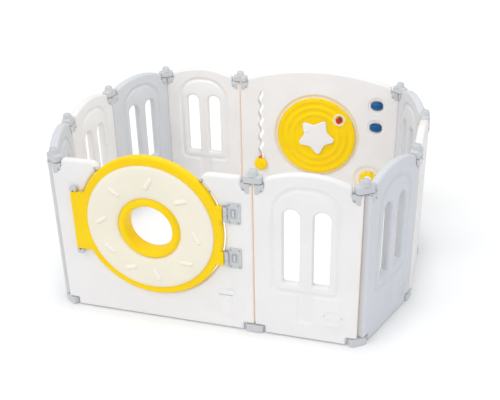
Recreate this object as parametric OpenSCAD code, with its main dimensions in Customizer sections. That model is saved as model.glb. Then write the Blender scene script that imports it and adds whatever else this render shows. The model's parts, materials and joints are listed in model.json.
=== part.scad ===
// Folding playpen: ten moulded panels in a barrel-shaped ring, a round gate that swings out,
// and a wide panel of toys. Seen from above the panels run anticlockwise from the gate.
// A panel's own x runs along it from its first pin to its second, and its +y faces the inside.

/* [Panels] */
// Connector to connector along a narrow panel
narrow_pitch = 370; // [350:1:420]
// Connector to connector along a wide panel
wide_pitch = 740; // [735:1:800]
// Thickness of every panel
panel_t = 32; // [31:0.5:34]
// Gap between the floor and the bottom of the panels
panel_lift = 4; // [2:1:8]
// Rise of a narrow panel's arch above the shoulders
narrow_rise = 30; // [20:1:60]
// Rise of the wide toy panel's arch above the shoulders
wide_rise = 53; // [30:1:80]
// Height of the panel tops beside the caps
shoulder_h = 610; // [606:1:620]
// Radius of the corner where a panel top meets its notch
shoulder_r = 15; // [8:1:18]
// Radius of a panel's upright edges, seen from above
edge_r = 10; // [6:0.5:10]
// How far a panel reaches past its pin
end_reach = 17.5; // [16:0.5:17.5]
// Turn from the front panels to the first side panel, in degrees
first_turn = 70; // [60:1:80]

/* [Ice-pop relief and slots] */
// Width of the ice-pop outline
pop_w = 250; // [230:1:260]
// Height of the bottom of the ice-pop outline
pop_bottom = 178; // [165:1:195]
// Distance from the top of the arch down to the ice-pop outline
pop_drop = 40; // [36:1:54]
// Radius of the two upper corners of the outline
pop_top_r = 105; // [80:1:110]
// Radius of the two lower corners of the outline
pop_foot_r = 34; // [25:1:45]
// Width of the groove that draws the outline
groove_w = 24; // [16:1:26]
// Depth of the groove and of the stick
groove_depth = 4; // [2:0.5:5]
// Width of the ice-pop stick
stick_w = 64; // [50:1:76]
// Height of the lower end of the stick
stick_bottom = 65; // [55:1:90]
// Width of a slot
slot_w = 58; // [50:1:64]
// Distance between the middles of the two slots
slot_spacing = 105; // [95:1:112]
// Height of the bottom of the slots
slot_bottom = 226; // [215:1:240]
// Distance from the top of the outline down to the slots
slot_drop = 92; // [76:1:106]

/* [Connectors] */
// Distance between the two pins of a connector
pin_pitch = 40; // [40:0.5:44]
// Diameter of a connector pin
pin_d = 10; // [8:0.5:11]
// Length of a cap and of a foot
link_l = 66; // [62:1:67]
// Width of a cap, across the panels
cap_w = 36; // [34:1:37]
// Width of a foot, across the panels
foot_w = 38; // [36:1:39]
// Corner radius of a cap and of a foot, seen from above
link_r = 12; // [12:0.5:14]
// How far the tops of the caps stand above the shoulders
cap_rise = 6; // [3:1:9]
// Thickness of a cap
cap_h = 25; // [20:1:28]
// Thickness of a foot
foot_h = 30; // [24:1:34]
// Bevel along the lower edge of a foot and the upper edge of a cap
link_bevel = 5; // [2:0.5:6]
// Diameter of the knob on a cap
knob_d = 34; // [28:1:35]
// Height of the knob on a cap
knob_h = 20; // [14:1:26]
// Gap between a connector and the panel edge beside or above it
link_gap = 3; // [2.5:0.5:4]
// Gap between the end of a connector and the wall of its notch
notch_gap = 6.5; // [6.5:0.5:9]
// Thickness of the web of a corner bracket
bracket_web = 4; // [3:0.5:6]
// Thickness of the two cheeks of a corner bracket
cheek_t = 2; // [1.5:0.5:2]
// Height of a cheek where it is deepest
cheek_h = 35; // [30:1:40]
// Length of a connector pin below the cap and above the foot
pin_l = 36; // [30:1:44]

/* [Gate] */
// Radius of the round gate
gate_r = 268; // [255:1:270]
// Height of the centre of the gate
gate_z = 387; // [380:1:395]
// Thickness of the gate's rim
gate_t = 34; // [30:1:36]
// How far the rim stands out in front of the frame
gate_proud = 19; // [15:0.5:20]
// Gap between the gate and the round cut-out
gate_gap = 4; // [3:0.5:6]
// Outer radius of the icing
icing_r = 238; // [225:1:245]
// Inner radius of the icing
icing_hole_r = 115; // [105:1:125]
// Height of the icing on each face of the rim
icing_h = 15; // [12:1:17]
// Radius of the hole through the gate
hole_r = 86; // [75:1:92]
// Height of the sprinkles on the icing
sprinkle_h = 5; // [3:0.5:6]
// Length of a sprinkle
sprinkle_l = 52; // [40:1:60]
// Width of a sprinkle
sprinkle_w = 20; // [14:1:24]
// Distance of the sprinkles from the middle of the gate
sprinkle_ring = 178; // [172:1:184]
// How far the posts beside the gate stop below the shoulders
post_drop = 2; // [0:1:5]
// Width of the flat top of each post, from the pin
post_flat = 130; // [120:1:140]
// Radius of the inner top corner of each post
post_r = 35; // [28:1:40]

/* [Gate latch and hinges] */
// Height of the latch tab on the gate
tab_h = 228; // [200:1:240]
// Height of the middle of the latch tab
tab_z = 380; // [374:1:387]
// How far the latch tab reaches past the rim
tab_reach = 28; // [22:1:34]
// Diameter of a latch pin
latch_pin_d = 5; // [4:0.5:6]
// Length of a latch pin
latch_pin_l = 25; // [20:1:35]
// How far a latch pin stands out of the tab
latch_throw = 4.5; // [3.5:0.5:6]
// Gap between the tab and each keeper
keeper_gap = 2; // [1.5:0.5:3]
// Width of a keeper
keeper_w = 24; // [18:1:28]
// Height of a keeper
keeper_h = 18; // [14:1:24]
// Distance between the middles of the two hinges
hinge_spacing = 173; // [160:1:185]
// Width of a hinge plate
plate_w = 46; // [42:1:48]
// Height of a hinge plate
plate_h = 79; // [74:1:86]
// Thickness of a hinge plate
plate_t = 4; // [4:0.5:6]
// Diameter of a hinge barrel
barrel_d = 15; // [14:0.5:17]
// Length of a hinge barrel
barrel_l = 53; // [46:1:60]
// Diameter of a hinge pin
hinge_pin_d = 6; // [4:0.5:7]
// Length of a hinge screw's shank
hinge_screw_l = 16; // [10:1:20]

/* [Toys] */
// Radius of the dial
dial_r = 183; // [176:1:190]
// Height of the middle of the dial
dial_z = 354; // [346:1:362]
// How far the dial lies off the middle of the toy panel, away from the rollers
dial_offset = 3; // [0:1:8]
// Thickness of the dial's plate
dial_t = 9; // [8:0.5:11]
// Depth of the recess that the dial sits in
dial_recess = 6; // [3:0.5:7]
// Radius of the dial's axle
dial_axle_r = 8; // [6:0.5:10]
// Radius of the star
star_r = 86; // [74:1:92]
// Thickness of the star
star_t = 8; // [6:1:12]
// Lean of the star, in degrees
star_lean = 8; // [0:1:36]
// Radius of the strawberry's cup
cup_r = 28; // [25:1:30]
// Distance of the strawberry in from the dial's rim
cup_inset = 44; // [39:1:51]
// Width of the wavy slot
wave_slot_w = 16; // [15:0.5:18]
// How far the wavy slot swings to each side
wave_swing = 6; // [4:0.5:6]
// Length of one wave
wave_l = 62; // [56:1:68]
// Lowest point of the slider's neck
slider_low = 190; // [180:1:205]
// Travel of the slider
slider_travel = 350; // [300:1:355]
// Radius of the fruit on the slider
fruit_r = 31; // [26:1:36]
// Diameter of the neck of the slider
neck_d = 3.4; // [2.4:0.2:3.4]
// Length of a roller
roller_l = 56; // [50:1:60]
// Diameter of a roller
roller_d = 42; // [36:1:44]
// Height of the upper roller
upper_roller_z = 521; // [510:1:530]
// Height of the lower roller
lower_roller_z = 417; // [406:1:426]
// Diameter of a roller's axle
roller_axle_d = 5; // [4:0.5:6]
// Radius of the shallow dish around a roller
roller_dish_r = 38; // [36:1:42]
// Radius of the sun spinner
sun_r = 46; // [42:1:52]
// Thickness of the sun spinner
sun_t = 12; // [9:1:16]
// Height of the sun spinner
sun_z = 160; // [154:1:170]
// Radius of the dish around the sun spinner
sun_dish_r = 66; // [60:1:70]
// Distance of the rollers and of the wavy slot from the nearer pin
toy_side = 80; // [76:1:86]

/* [Clearances] */
// Radial clearance of a pin that turns in its bore
run_fit = 0.05; // [0.02:0.01:0.1]
// Gap between faces that pass or touch without bearing
slack = 0.3; // [0.2:0.05:0.5]

/* [Hidden] */
$fn = 64;

white = [0.93, 0.925, 0.915];
grey = [0.78, 0.785, 0.8];
fitting_grey = [0.83, 0.84, 0.85];
yellow = [0.97, 0.83, 0.14];
cream = [0.95, 0.93, 0.86];
steel = [0.7, 0.7, 0.72];

// Heights that follow the shoulders
narrow_crown = shoulder_h + narrow_rise;
wide_crown = shoulder_h + wide_rise;
pop_top = narrow_crown - pop_drop;
slot_top = pop_top - slot_drop;
cap_top = shoulder_h + cap_rise;
post_h = shoulder_h - post_drop;
arch_root = 100;
slot_foot_r = slot_w / 5;
stick_r = stick_w / 3;

// Levels of the notches, brackets and pins
through = panel_t + 10;
recess_cut = 20;
cap_bottom = cap_top - cap_h;
web_top = cap_bottom - link_gap;
web_bottom = web_top - bracket_web;
foot_notch = foot_h + link_gap;
notch_reach = (link_l - pin_pitch) / 2 + notch_gap;
bracket_reach = end_reach - cheek_t;
bracket_half = panel_t / 2 + cheek_t;
cheek_band = 21;
cheek_tail = 6;
cheek_r = 5;
bracket_screw_x = 11;
bracket_screw_z = web_top - cheek_band + 1;
bracket_screw_d = 4;
bracket_head_d = 8;
bracket_head_t = 1.6;
collar_wall = 3;
pin_hole_slack = 1.5;
dimple_r = 9;
dimple_depth = 2;
knob_edge_r = 6;
bracket_blank_l = 100;

// The ring: pin-to-pin spans and headings of the panels, from the gate frame round to it again
narrow_span = narrow_pitch - pin_pitch;
wide_span = wide_pitch - pin_pitch;
GATE = 0;
FRONT = 1;
TOYS = 5;
BACK = 6;
spans = [for (i = [0:9]) i == GATE || i == TOYS ? wide_span : narrow_span];
headings = [
    0, 0, first_turn, 90, 180 - first_turn, 180, 180, 180 + first_turn, 270, 360 - first_turn, 360
];
function towards(heading) = [cos(heading), sin(heading)];
function link_heading(i) = (headings[i] + headings[i + 1]) / 2;
ring_depth = narrow_span + 2 * (narrow_span * sin(first_turn) + pin_pitch * sin(first_turn / 2)
    + pin_pitch * sin((first_turn + 90) / 2));
// The origin is on the floor, midway between the outermost points of the front and the back
front_reach = panel_t / 2 + gate_proud + icing_h + sprinkle_h;
back_reach = max(foot_w / 2, bracket_half + run_fit + bracket_head_t);
front_y = -(ring_depth + back_reach - front_reach) / 2;
function panel_start(i) = i == 0
    ? [-(wide_span + pin_pitch + narrow_span) / 2, front_y]
    : panel_start(i - 1) + spans[i - 1] * towards(headings[i - 1])
        + pin_pitch * towards(link_heading(i - 1));
function link_middle(i) =
    panel_start(i) + spans[i] * towards(headings[i]) + pin_pitch / 2 * towards(link_heading(i));

// Places on the gate frame
gate_x = wide_span / 2;
gate_front = -panel_t / 2 - gate_proud;
gate_back = gate_front + gate_t;
rim_r = 9;
icing_edge_r = 7;
collar_step = 3;
leaf_t = 3;
leaf_l = 25;
lug_l = 50;
tab_root = 60;
tab_end = gate_x - gate_r - tab_reach;
lug_back = -panel_t / 2 - 0.5;
barrel_r = barrel_d / 2;
hinge_x = gate_x + gate_r + barrel_r + 0.5;
hinge_y = -panel_t / 2 - barrel_r - 1;
lug_end = hinge_x - barrel_r - 1;
knuckle_l = barrel_l / 3;
plate_x = hinge_x + barrel_r;
plate_r = 4;
pocket_w = 24;
pocket_h = 36;
pocket_depth = 2.5;
tongue_r = 6;
tongue_h = 28;
plate_screw_inset = 7;
plate_screw_d = 4;
plate_head_d = 7;
plate_head_t = 2;
pin_head_t = 2.5;
tab_mid_y = (gate_front + lug_back) / 2;
latch_x = tab_end + keeper_w / 2;
keeper_t = gate_proud;
keeper_slot_w = latch_pin_d + 2;
keeper_slot_depth = latch_throw;
keeper_r = 3;
latch_pin_bore = latch_pin_l + 1;
// Each sprinkle: place around the gate and lean, in degrees
sprinkles = [
    [86, 60], [44, 15], [-3, -65], [-40, 0], [-83, -65], [-116, 15], [-149, -35], [174, 35], [131, -35]
];

// Places on the toy panel: x from its right-hand pin, seen from inside, and +y towards the inside
inner_face = panel_t / 2;
dial_x = wide_span / 2 + dial_offset;
dial_floor = inner_face - dial_recess;
dial_back = dial_floor + 0.5;
dial_front = dial_back + dial_t;
dial_recess_r = dial_r + 8;
axle_head_r = dial_axle_r + 6;
axle_head_t = 4;
axle_flange_r = dial_axle_r + 12;
flange_t = 3;
ridge_r = 9;
ridge_inset = 13;
ridge_step = 31;
cup_angle = 140;
cup_wall = 3;
cup_t = 10;
cup_seat = 3.5;
cup_ring = dial_r - cup_inset;
cup_x = dial_x + cup_ring * cos(cup_angle);
cup_z = dial_z + cup_ring * sin(cup_angle);
cup_floor_y = dial_front - cup_seat + cup_wall;
star_waist = 0.68;
star_tip = 0.16;
berry_post_d = 6;
berry_r = 16;
berry_tip_r = 8;
berry_tip_drop = 12;
berry_taper = asin((berry_r - berry_tip_r) / berry_tip_drop);
berry_t = 11;
berry_lean = -28;
calyx_rise = 11;
calyx_r = 11;
calyx_notch_r = 5;
calyx_t = 2.5;
wave_x = wide_span - toy_side;
wave_step = wave_l / 12;
slot_low = slider_low - wave_slot_w / 2;
slot_high = slider_low + slider_travel + wave_slot_w / 2 + wave_step;
fruit_t = 18;
fruit_edge_r = 9;
leaf_rise = 6;
leaf_lean = 35;
leaf_half_w = 7;
leaf_bow = 8;
leaf_thick = 6;
washer_r = 15;
washer_t = 3;
roller_x = toy_side;
roller_sink = 5.5;
roller_y = inner_face - roller_sink;
roller_gap = 2;
roller_end_r = 18;
roller_dish_depth = 2;
roller_axle_l = roller_l + 2 * roller_gap + 14;
sun_offset = 24;
sun_x = toy_side + sun_offset;
sun_dish_depth = 5;
sun_back = inner_face - sun_dish_depth + 0.5;
sun_rays = 10;
sun_core = 0.68;
sun_ray_root = 0.22;
sun_ray_r = 3.5;
sun_hub_r = 6;
sun_cap_r = 20;
sun_cap_t = 3;

// ---- helpers ----

module at_panel(i) {
    translate(concat(panel_start(i), [0])) rotate(headings[i]) children();
}

module at_link(i) {
    translate(concat(link_middle(i), [0])) rotate(link_heading(i)) children();
}

// Stands a flat (x, z) outline up and gives it the depth from y0 to y1
module upright(y0, y1) {
    translate([0, y1, 0]) rotate([90, 0, 0]) linear_extrude(y1 - y0) children();
}

// Turns its children, made along +Z, to point outwards (-y) or inwards (+y) from a point
module outwards(x, y, z) {
    translate([x, y, z]) rotate([90, 0, 0]) children();
}

module inwards(x, y, z) {
    translate([x, y, z]) rotate([-90, 0, 0]) children();
}

module rounded_rect(w, h, r) {
    square([w - 2 * r, h], center = true);
    square([w, h - 2 * r], center = true);
    for (sx = [-1, 1], sy = [-1, 1]) translate([sx * (w / 2 - r), sy * (h / 2 - r)]) circle(r);
}

// An outline from bottom to top with one radius for its upper and one for its lower corners
module tall_outline(w, bottom, top, top_r, foot_r) {
    translate([-w / 2 + foot_r, bottom]) square([w - 2 * foot_r, foot_r]);
    translate([-w / 2, bottom + foot_r]) square([w, top - top_r - bottom - foot_r]);
    if (w > 2 * top_r) translate([-w / 2 + top_r, top - top_r - 1]) square([w - 2 * top_r, top_r + 1]);
    for (s = [-1, 1]) {
        translate([s * (w / 2 - foot_r), bottom + foot_r]) circle(foot_r);
        translate([s * (w / 2 - top_r), top - top_r]) circle(top_r);
    }
}

module stadium(l, w) {
    square([l - w, w], center = true);
    for (s = [-1, 1]) translate([s * (l - w) / 2, 0]) circle(w / 2);
}

// Things that stand at both pins of a panel, the second one mirrored
module at_both_pins(span) {
    children();
    translate([span, 0, 0]) mirror([1, 0, 0]) children();
}

// Points of an arc every 15 degrees, anticlockwise from one angle to another
function arc_points(middle, r, from, to) = [for (a = [from:15:to]) middle + r * towards(a)];

// ---- panels ----

module panel_plan(span) {
    translate([span / 2, 0]) rounded_rect(span + 2 * end_reach, panel_t, edge_r);
}

// The panel seen from the side, up to the shoulders, without its notches
module panel_slab(span) {
    translate([-end_reach, panel_lift]) square([span + 2 * end_reach, web_bottom - panel_lift]);
}

// The arched top between the notches, tangent to a round corner at each end
module arch(span, crown) {
    half = span / 2 - notch_reach;
    rise = crown - shoulder_h;
    arch_r = (half * half + rise * rise) / (2 * rise);
    corner_x = half - shoulder_r;
    corner_z = sqrt(pow(arch_r - shoulder_r, 2) - corner_x * corner_x);
    tangent_x = corner_x * arch_r / (arch_r - shoulder_r);
    translate([span / 2, crown - arch_r]) {
        intersection() {
            circle(arch_r, $fn = 360);
            translate([-tangent_x, corner_z - arch_root]) square([2 * tangent_x, arch_r]);
        }
        translate([-half, corner_z - arch_root]) square([2 * half, arch_root]);
        for (s = [-1, 1]) translate([s * corner_x, corner_z]) circle(shoulder_r);
    }
}

// The end of a panel: notches for the cap and the foot, and holes for pins and bracket screw
module end_cuts() {
    translate([-end_reach - 1, -through / 2, web_bottom])
        cube([end_reach + 1 + notch_reach, through, cap_top]);
    translate([-end_reach - 1, -through / 2, -1])
        cube([end_reach + 1 + notch_reach, through, foot_notch + 1]);
    translate([0, 0, cap_bottom - pin_l - 2]) cylinder(r = pin_d / 2 + pin_hole_slack, h = pin_l);
    cylinder(r = pin_d / 2 + run_fit, h = foot_h + pin_l + 2);
    outwards(bracket_screw_x, through / 2, bracket_screw_z)
        cylinder(r = bracket_screw_d / 2 + run_fit, h = through);
}

module panel_blank(span) {
    difference() {
        intersection() {
            linear_extrude(2 * wide_crown) panel_plan(span);
            upright(-panel_t / 2, panel_t / 2) children();
        }
        at_both_pins(span) end_cuts();
    }
}

module pop_outline(inset) {
    translate([narrow_span / 2, 0])
        tall_outline(pop_w - 2 * inset, pop_bottom + inset, pop_top - inset,
            pop_top_r - inset, pop_foot_r - inset);
}

module pop_relief() {
    difference() {
        pop_outline(0);
        pop_outline(groove_w);
    }
    translate([narrow_span / 2, 0])
        tall_outline(stick_w, stick_bottom, pop_bottom + groove_w / 2, 1, stick_r);
}

// A narrow panel: two slots in an ice-pop drawn by a groove on both faces
module slotted_panel() {
    difference() {
        panel_blank(narrow_span) {
            panel_slab(narrow_span);
            arch(narrow_span, narrow_crown);
        }
        upright(-panel_t / 2 - 1, -panel_t / 2 + groove_depth) pop_relief();
        upright(panel_t / 2 - groove_depth, panel_t / 2 + 1) pop_relief();
        for (s = [-1, 1])
            translate([narrow_span / 2 + s * slot_spacing / 2, 0, 0])
                upright(-through / 2, through / 2)
                    tall_outline(slot_w, slot_bottom, slot_top, slot_w / 2, slot_foot_r);
    }
}

module front_panel() { color(white) at_panel(FRONT) slotted_panel(); }
module right_near_panel() { color(grey) at_panel(2) slotted_panel(); }
module right_middle_panel() { color(white) at_panel(3) slotted_panel(); }
module right_far_panel() { color(grey) at_panel(4) slotted_panel(); }
module back_panel() { color(white) at_panel(BACK) slotted_panel(); }
module left_far_panel() { color(grey) at_panel(7) slotted_panel(); }
module left_middle_panel() { color(white) at_panel(8) slotted_panel(); }
module left_near_panel() { color(grey) at_panel(9) slotted_panel(); }

// ---- gate frame ----

// Holes for the four screws of each hinge plate
module at_plate_screws() {
    for (h = [-1, 1], sx = [-1, 1], sz = [-1, 1])
        translate([
            plate_x + plate_w / 2 + sx * (plate_w / 2 - plate_screw_inset), 0,
            gate_z + h * hinge_spacing / 2 + sz * (plate_h / 2 - plate_screw_inset)
        ]) children();
}

module frame_outline() {
    difference() {
        union() {
            panel_slab(wide_span);
            translate([notch_reach, web_bottom - 1])
                square([wide_span - 2 * notch_reach, post_h - web_bottom + 1 - shoulder_r]);
            translate([notch_reach + shoulder_r, web_bottom])
                square([wide_span - 2 * (notch_reach + shoulder_r), post_h - web_bottom]);
            for (x = [notch_reach + shoulder_r, wide_span - notch_reach - shoulder_r])
                translate([x, post_h - shoulder_r]) circle(shoulder_r);
        }
        translate([post_flat, post_h - post_r])
            square([wide_span - 2 * post_flat, 2 * post_r]);
        translate([gate_x, gate_z]) circle(gate_r + gate_gap, $fn = 180);
    }
    difference() {
        for (x = [post_flat, wide_span - post_flat]) translate([x, post_h - post_r]) circle(post_r);
        translate([gate_x, gate_z]) circle(gate_r + gate_gap, $fn = 180);
    }
}

module gate_frame() {
    color(white) at_panel(GATE) difference() {
        panel_blank(wide_span) frame_outline();
        at_plate_screws() outwards(0, -panel_t / 2 + hinge_screw_l + 1, 0)
            cylinder(r = plate_screw_d / 2 + run_fit, h = hinge_screw_l + 2);
    }
}

// ---- toy panel ----

function wave_offset(z) = wave_swing * sin(360 * (z - slot_low) / wave_l);

module wave_slot() {
    r = wave_slot_w / 2;
    zs = [for (z = [slot_low + r:wave_step:slot_high - r]) z];
    last = zs[len(zs) - 1];
    polygon(concat(
        [for (z = zs) [wave_offset(z) + r, z]],
        arc_points([wave_offset(last), last], r, 15, 165),
        [for (i = [len(zs) - 1:-1:0]) [wave_offset(zs[i]) - r, zs[i]]],
        arc_points([wave_offset(zs[0]), zs[0]], r, 195, 345)
    ));
}

// A pocket that shows a mouth with wide round corners, and is round where the roller turns in it
module roller_pocket(z) {
    pocket_r = roller_d / 2 + roller_gap;
    pocket_l = roller_l + 2 * roller_gap;
    intersection() {
        translate([roller_x, roller_y, z]) rotate([0, 90, 0])
            cylinder(r = pocket_r, h = pocket_l, center = true);
        translate([roller_x, 0, z]) upright(-through / 2, through / 2)
            rounded_rect(pocket_l, 2 * pocket_r, roller_end_r + roller_gap);
    }
    translate([roller_x, roller_y, z]) rotate([0, 90, 0])
        cylinder(r = roller_axle_d / 2 + run_fit, h = roller_axle_l + 1, center = true);
    inwards(roller_x, inner_face - roller_dish_depth, z)
        cylinder(r = roller_dish_r, h = recess_cut);
}

module activity_panel() {
    color(white) at_panel(TOYS) difference() {
        panel_blank(wide_span) {
            panel_slab(wide_span);
            arch(wide_span, wide_crown);
        }
        inwards(dial_x, dial_floor, dial_z)
            cylinder(r = dial_recess_r, h = recess_cut, $fn = 180);
        inwards(dial_x, -through / 2, dial_z) cylinder(r = dial_axle_r + run_fit, h = through);
        translate([wave_x, 0, 0]) upright(-through / 2, through / 2) wave_slot();
        for (z = [upper_roller_z, lower_roller_z]) roller_pocket(z);
        inwards(sun_x, inner_face - sun_dish_depth, sun_z)
            cylinder(r = sun_dish_r, h = recess_cut);
        inwards(sun_x, -through / 2, sun_z) cylinder(r = sun_hub_r + run_fit, h = through);
    }
}

// ---- connectors ----

// A block with rounded corners from above and one bevelled edge all round, at its top (z = h)
module link_block(w, h) {
    intersection() {
        linear_extrude(h) rounded_rect(link_l, w, link_r);
        upright(-w, w) bevelled(link_l, h);
        rotate([0, 0, 90]) upright(-link_l, link_l) bevelled(w, h);
    }
}

module bevelled(l, h) {
    b = link_bevel;
    polygon([[-l / 2, 0], [l / 2, 0], [l / 2, h - b], [l / 2 - b, h], [b - l / 2, h], [-l / 2, h - b]]);
}

// The two pins of a connector, up from z = 0, each with a collar that keeps the gap
module link_pins() {
    for (s = [-1, 1]) translate([s * pin_pitch / 2, 0, -0.5]) {
        cylinder(d = pin_d, h = pin_l + 0.5);
        cylinder(r = pin_d / 2 + collar_wall, h = link_gap - slack + 0.5);
    }
}

module knob() {
    rotate_extrude() difference() {
        union() {
            square([knob_d / 2 - knob_edge_r + 1, knob_h]);
            square([knob_d / 2, knob_h - knob_edge_r]);
            translate([knob_d / 2 - knob_edge_r, knob_h - knob_edge_r]) circle(knob_edge_r);
        }
        translate([-knob_d, -knob_h]) square([knob_d, 3 * knob_h]);
        translate([0, knob_h - dimple_depth]) square([dimple_r, 2 * dimple_depth]);
    }
}

module cap(i) {
    color(fitting_grey) at_link(i) {
        translate([0, 0, cap_bottom]) link_block(cap_w, cap_h);
        translate([0, 0, cap_top - 0.5]) knob();
        translate([0, 0, cap_bottom]) mirror([0, 0, 1]) link_pins();
    }
}

module foot(i) {
    color(fitting_grey) at_link(i) {
        translate([0, 0, foot_h]) mirror([0, 0, 1]) link_block(foot_w, foot_h);
        translate([0, 0, foot_h]) link_pins();
    }
}

module front_middle_cap() { cap(0); }
module front_right_cap() { cap(1); }
module right_near_cap() { cap(2); }
module right_far_cap() { cap(3); }
module back_right_cap() { cap(4); }
module back_middle_cap() { cap(5); }
module back_left_cap() { cap(6); }
module left_far_cap() { cap(7); }
module left_near_cap() { cap(8); }
module front_left_cap() { cap(9); }

module front_middle_foot() { foot(0); }
module front_right_foot() { foot(1); }
module right_near_foot() { foot(2); }
module right_far_foot() { foot(3); }
module back_right_foot() { foot(4); }
module back_middle_foot() { foot(5); }
module back_left_foot() { foot(6); }
module left_far_foot() { foot(7); }
module left_near_foot() { foot(8); }
module front_left_foot() { foot(9); }

// ---- corner brackets ----

// The cheek's outline: a band under the web, and a tail that hangs beside the seam
module cheek() {
    width = bracket_reach + notch_reach - slack;
    translate([-bracket_reach, 0]) {
        translate([0, web_top - cheek_band + cheek_r]) square([width, cheek_band - cheek_r]);
        translate([0, web_top - cheek_band]) square([width - cheek_r, cheek_band]);
        translate([width - cheek_r, web_top - cheek_band + cheek_r]) circle(cheek_r);
        translate([0, web_top - cheek_h + cheek_r])
            square([bracket_reach + cheek_tail, cheek_h - cheek_r]);
        translate([0, web_top - cheek_h])
            square([bracket_reach + cheek_tail - cheek_r, cheek_h]);
        translate([bracket_reach + cheek_tail - cheek_r, web_top - cheek_h + cheek_r])
            circle(cheek_r);
    }
}

module corner_bracket() {
    difference() {
        intersection() {
            union() {
                upright(-bracket_half, -panel_t / 2) cheek();
                upright(panel_t / 2, bracket_half) cheek();
                translate([-bracket_reach, -bracket_half, web_bottom])
                    cube([bracket_reach + notch_reach - slack, 2 * bracket_half, bracket_web]);
            }
            linear_extrude(2 * cap_top) translate([bracket_blank_l / 2 - bracket_reach, 0])
                rounded_rect(bracket_blank_l, 2 * bracket_half, edge_r);
        }
        cylinder(r = pin_d / 2 + run_fit, h = cap_top);
        outwards(bracket_screw_x, through / 2, bracket_screw_z)
            cylinder(r = bracket_screw_d / 2 + run_fit, h = through);
    }
}

// A through screw with a low head on each cheek
module bracket_screw() {
    outwards(bracket_screw_x, 0, bracket_screw_z) {
        cylinder(d = bracket_screw_d, h = 2 * bracket_half + bracket_head_t, center = true);
        for (s = [-1, 1]) translate([0, 0, s * (bracket_half + run_fit + bracket_head_t / 2)])
            cylinder(d = bracket_head_d, h = bracket_head_t, center = true);
    }
}

module brackets(i) {
    color(fitting_grey) at_panel(i) at_both_pins(spans[i]) {
        corner_bracket();
        bracket_screw();
    }
}

module front_brackets() { for (i = [GATE, FRONT]) brackets(i); }
module right_near_brackets() { brackets(2); }
module right_middle_brackets() { brackets(3); }
module right_far_brackets() { brackets(4); }
module back_brackets() { for (i = [TOYS, BACK]) brackets(i); }
module left_far_brackets() { brackets(7); }
module left_middle_brackets() { brackets(8); }
module left_near_brackets() { brackets(9); }

// ---- gate ----

// The rim, rounded outside and square where the collar sits in it, from its back face to its front
module rim() {
    rotate_extrude($fn = 180) {
        translate([icing_hole_r, -gate_back]) square([gate_r - icing_hole_r - rim_r, gate_t]);
        translate([icing_hole_r, rim_r - gate_back]) square([gate_r - icing_hole_r, gate_t - 2 * rim_r]);
        for (z = [rim_r - gate_back, -gate_front - rim_r]) translate([gate_r - rim_r, z]) circle(rim_r);
    }
}

// A flat ring with rounded edges, about +Z from z0 to z1
module soft_ring(inner, outer, z0, z1, r) {
    rotate_extrude($fn = 180) {
        translate([inner + r, z0]) square([outer - inner - 2 * r, z1 - z0]);
        translate([inner, z0 + r]) square([outer - inner, z1 - z0 - 2 * r]);
        for (x = [inner + r, outer - r], z = [z0 + r, z1 - r]) translate([x, z]) circle(r);
    }
}

module at_gate() {
    at_panel(GATE) outwards(gate_x, 0, gate_z) children();
}

// The rim with its latch tab and two hinge lugs, and the collar around the hole that clips into it
module gate_ring() {
    color(yellow) {
        at_gate() soft_ring(hole_r, icing_hole_r - slack,
            -gate_back - icing_h + collar_step, -gate_front + icing_h - collar_step, rim_r);
        difference() {
            union() {
                at_gate() rim();
                at_panel(GATE) upright(gate_front, lug_back) {
                    translate([tab_end, tab_z - tab_h / 2])
                        square([gate_x - gate_r + tab_root - tab_end, tab_h]);
                    for (h = [-1, 1])
                        translate([lug_end - lug_l, gate_z + h * hinge_spacing / 2 - barrel_l / 2])
                            square([lug_l, barrel_l]);
                }
            }
            at_panel(GATE) for (h = [-1, 1]) {
                translate([
                    hinge_x - leaf_l, hinge_y + barrel_r - leaf_t,
                    gate_z + h * hinge_spacing / 2 - barrel_l / 2 - 1
                ]) cube([leaf_l, 2 * leaf_t, barrel_l + 2]);
                translate([latch_x, tab_mid_y, tab_z + h * (tab_h / 2 - latch_pin_bore / 2 + 0.5)])
                    cylinder(r = latch_pin_d / 2 + run_fit, h = latch_pin_bore + 1, center = true);
            }
        }
    }
}
module icing() {
    soft_ring(icing_hole_r, icing_r, 0, icing_h, icing_edge_r);
    linear_extrude(icing_h / 2) difference() {
        circle(icing_r, $fn = 180);
        circle(icing_hole_r, $fn = 180);
    }
    for (s = sprinkles) rotate(s[0]) translate([sprinkle_ring, 0, icing_h - 1])
        rotate(s[1] - s[0]) linear_extrude(sprinkle_h + 1) stadium(sprinkle_l, sprinkle_w);
}

module icing_front() {
    color(cream) at_gate() translate([0, 0, -gate_front]) icing();
}

module icing_back() {
    color(cream) at_gate() translate([0, 0, -gate_back]) mirror([0, 0, 1]) icing();
}

// ---- hinges ----

module at_hinges() {
    at_panel(GATE) for (h = [-1, 1]) translate([hinge_x, hinge_y, gate_z + h * hinge_spacing / 2])
        children();
}

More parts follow.
